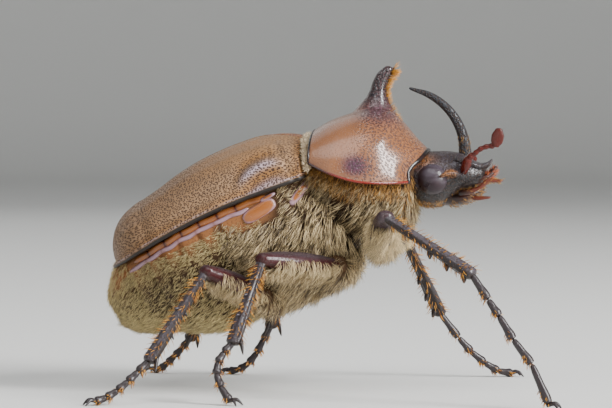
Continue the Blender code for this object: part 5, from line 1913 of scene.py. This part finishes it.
LEGS = (
    # name, then the middle line's points, the foot's (x, z) and its first and last y, then the fringe
    Leg("front_right", (5.9, -2.0, 18.4), (7.2, -4.8, 16.0), (8.3, -13.0, 19.5), (17.5, -17.0, 13.8),
        ((19.3, 11.1), (20.4, 9.5), (21.9, 7.1), (23.8, 4.6), (25.6, 0.5)), (-17.6, -19.2),
        (0.25, 0.9, 700, 2.6)),
    Leg("front_left", (5.9, 2.0, 18.4), (7.0, 4.8, 15.8), (8.4, 11.6, 17.0), (12.4, 16.0, 7.6),
        ((14.6, 4.6), (16.0, 3.0), (17.5, 1.7), (19.1, 0.7), (20.7, 0.42)), (16.7, 18.7),
        (0.25, 0.9, 500, 2.6)),
    Leg("middle_right", (2.6, -2.2, 13.2), (2.5, -6.2, 14.0), (-4.7, -12.8, 15.0), (-7.4, -16.0, 6.5),
        ((-8.3, 5.4), (-8.9, 4.4), (-9.0, 3.2), (-8.5, 1.9), (-7.5, 0.45)), (-16.4, -18.0),
        (0.1, 0.88, 800, 2.4)),
    Leg("middle_left", (2.6, 2.2, 13.2), (2.5, 6.2, 13.8), (-4.4, 12.8, 14.6), (-7.2, 16.4, 6.0),
        ((-8.2, 4.2), (-9.0, 2.7), (-10.0, 1.4), (-11.2, 0.6), (-12.4, 0.4)), (16.9, 18.5),
        (0.1, 0.88, 500, 2.2)),
    Leg("hind_right", (-5.0, -2.0, 9.8), (-5.6, -7.0, 10.9), (-10.6, -13.2, 13.7), (-16.1, -17.0, 4.6),
        ((-17.2, 3.4), (-18.2, 2.4), (-19.2, 1.5), (-20.3, 0.8), (-21.4, 0.42)), (-17.6, -19.4),
        (0.1, 0.88, 600, 1.8)),
    Leg("hind_left", (-5.0, 2.0, 9.8), (-5.6, 7.0, 10.7), (-11.0, 13.2, 13.2), (-16.8, 17.0, 4.4),
        ((-17.8, 3.2), (-18.8, 2.2), (-19.7, 1.3), (-20.6, 0.6), (-21.4, 0.4)), (17.7, 19.4),
        (0.1, 0.88, 450, 1.8)),
)


@dataclass
class Studio:
    """The camera, the pale floor that rises to a rim all round, and soft lights."""

    target: tuple = (-1.43, 0.0, 20.5)
    distance: float = 300.0
    turn: float = 6.0
    height: float = 1.5
    view_width: float = 67.32
    sensor: float = 36.0
    floor_radius: float = 1.3
    floor_steps: tuple = ((0.012, 1.06), (0.035, 1.05), (0.07, 1.045), (0.11, 1.03), (0.2, 1.02), (0.5, 1.01))
    aim: tuple = (0.0, 0.0, 0.018)
    lights: tuple = (
        # name, place, width and height in metres, power in watts
        ("key_light", (0.49, -0.24, 0.27), 0.19, 0.5, 10.5),
        ("sky_light", (-0.05, -0.30, 0.55), 0.5, 0.5, 2.5),
        ("rear_light", (-0.30, 0.40, 0.35), 0.5, 0.5, 0.5),
        ("low_light", (-0.30, -0.45, 0.06), 0.6, 0.6, 0.8),
    )

    def build(self) -> None:
        """Makes the camera, floor and lights."""
        self._camera()
        self._floor()
        for light in self.lights:
            self._light(*light)
        world = bpy.data.worlds.new("Studio")
        world.use_nodes = True
        colour, strength = world.node_tree.nodes["Background"].inputs[:2]
        colour.default_value, strength.default_value = (0.82, 0.85, 0.88, 1.0), 0.26
        bpy.context.scene.world = world

    @staticmethod
    def _placed(thing: Thing, place: Sequence[float], ahead: Sequence[float]) -> None:
        """Puts a camera or light in the scene, looking ahead.

        Args:
            thing: the camera or light.
            place: its place in metres.
            ahead: the way that it looks.
        """
        thing.location = place
        thing.rotation_mode = "QUATERNION"
        thing.rotation_quaternion = Vector(ahead).to_track_quat("-Z", "Y")
        bpy.context.scene.collection.objects.link(thing)

    def _camera(self) -> None:
        """The camera at the photograph's angle."""
        turn, high = math.radians(self.turn), math.radians(self.height)
        away = Vector((math.sin(turn) * math.cos(high), -math.cos(turn) * math.cos(high), math.sin(high)))
        target = Vector((np.array(self.target) + STANCE) * MM)
        data = bpy.data.cameras.new("camera")
        data.sensor_width = self.sensor
        data.lens = self.sensor * self.distance / self.view_width
        data.clip_start, data.clip_end = 0.01, 20.0
        camera = bpy.data.objects.new("camera", data)
        self._placed(camera, target + away * self.distance * MM, -away)
        bpy.context.scene.camera = camera

    def _floor(self) -> None:
        """A round floor whose edge sweeps up, so that no horizon shows."""
        Forge.rest()
        bpy.ops.mesh.primitive_circle_add(vertices=96, radius=self.floor_radius, fill_type="NGON")
        floor = bpy.context.active_object
        floor.name = floor.data.name = "floor"
        bpy.ops.object.mode_set(mode="EDIT")
        bpy.ops.mesh.select_mode(type="EDGE")
        bpy.ops.mesh.select_all(action="SELECT")
        bpy.ops.mesh.region_to_loop()
        for rise, grow in self.floor_steps:
            bpy.ops.mesh.extrude_edges_move(TRANSFORM_OT_translate={"value": (0, 0, rise)})
            bpy.ops.transform.resize(value=(grow, grow, 1.0))
        bpy.ops.object.mode_set(mode="OBJECT")
        bpy.ops.object.shade_smooth_by_angle(angle=math.radians(60))
        made = bpy.data.materials.new("Pale Floor")
        made.use_nodes = True
        shader = made.node_tree.nodes["Principled BSDF"]
        shader.inputs["Base Color"].default_value = (0.72, 0.72, 0.70, 1.0)
        shader.inputs["Roughness"].default_value = 0.7
        floor.data.materials.append(made)

    def _light(self, name: str, place: tuple, width: float, height: float, power: float) -> None:
        """A soft light that looks at the beetle.

        Args:
            name: its name.
            place: its place in metres.
            width: its width in metres.
            height: its height in metres.
            power: its strength in watts.
        """
        data = bpy.data.lights.new(name, "AREA")
        data.shape, data.size, data.size_y, data.energy = "RECTANGLE", width, height, power
        light = bpy.data.objects.new(name, data)
        self._placed(light, place, Vector(self.aim) - Vector(place))
        light.visible_camera = False


def corners(box: tuple) -> list[list[float]]:
    """A box's two corners as plain lists of numbers."""
    return [[float(value) for value in corner] for corner in box]


def main() -> None:
    """Builds the beetle part by part, then its studio."""
    logging.basicConfig(level=logging.INFO, format="%(name)s: %(message)s")
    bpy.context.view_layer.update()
    for part in (WingCases(), Shield(), Trunk(), Head(), *LEGS, Studio()):
        log.info("building %s", type(part).__name__)
        part.build()


if __name__ == "__main__":
    main()
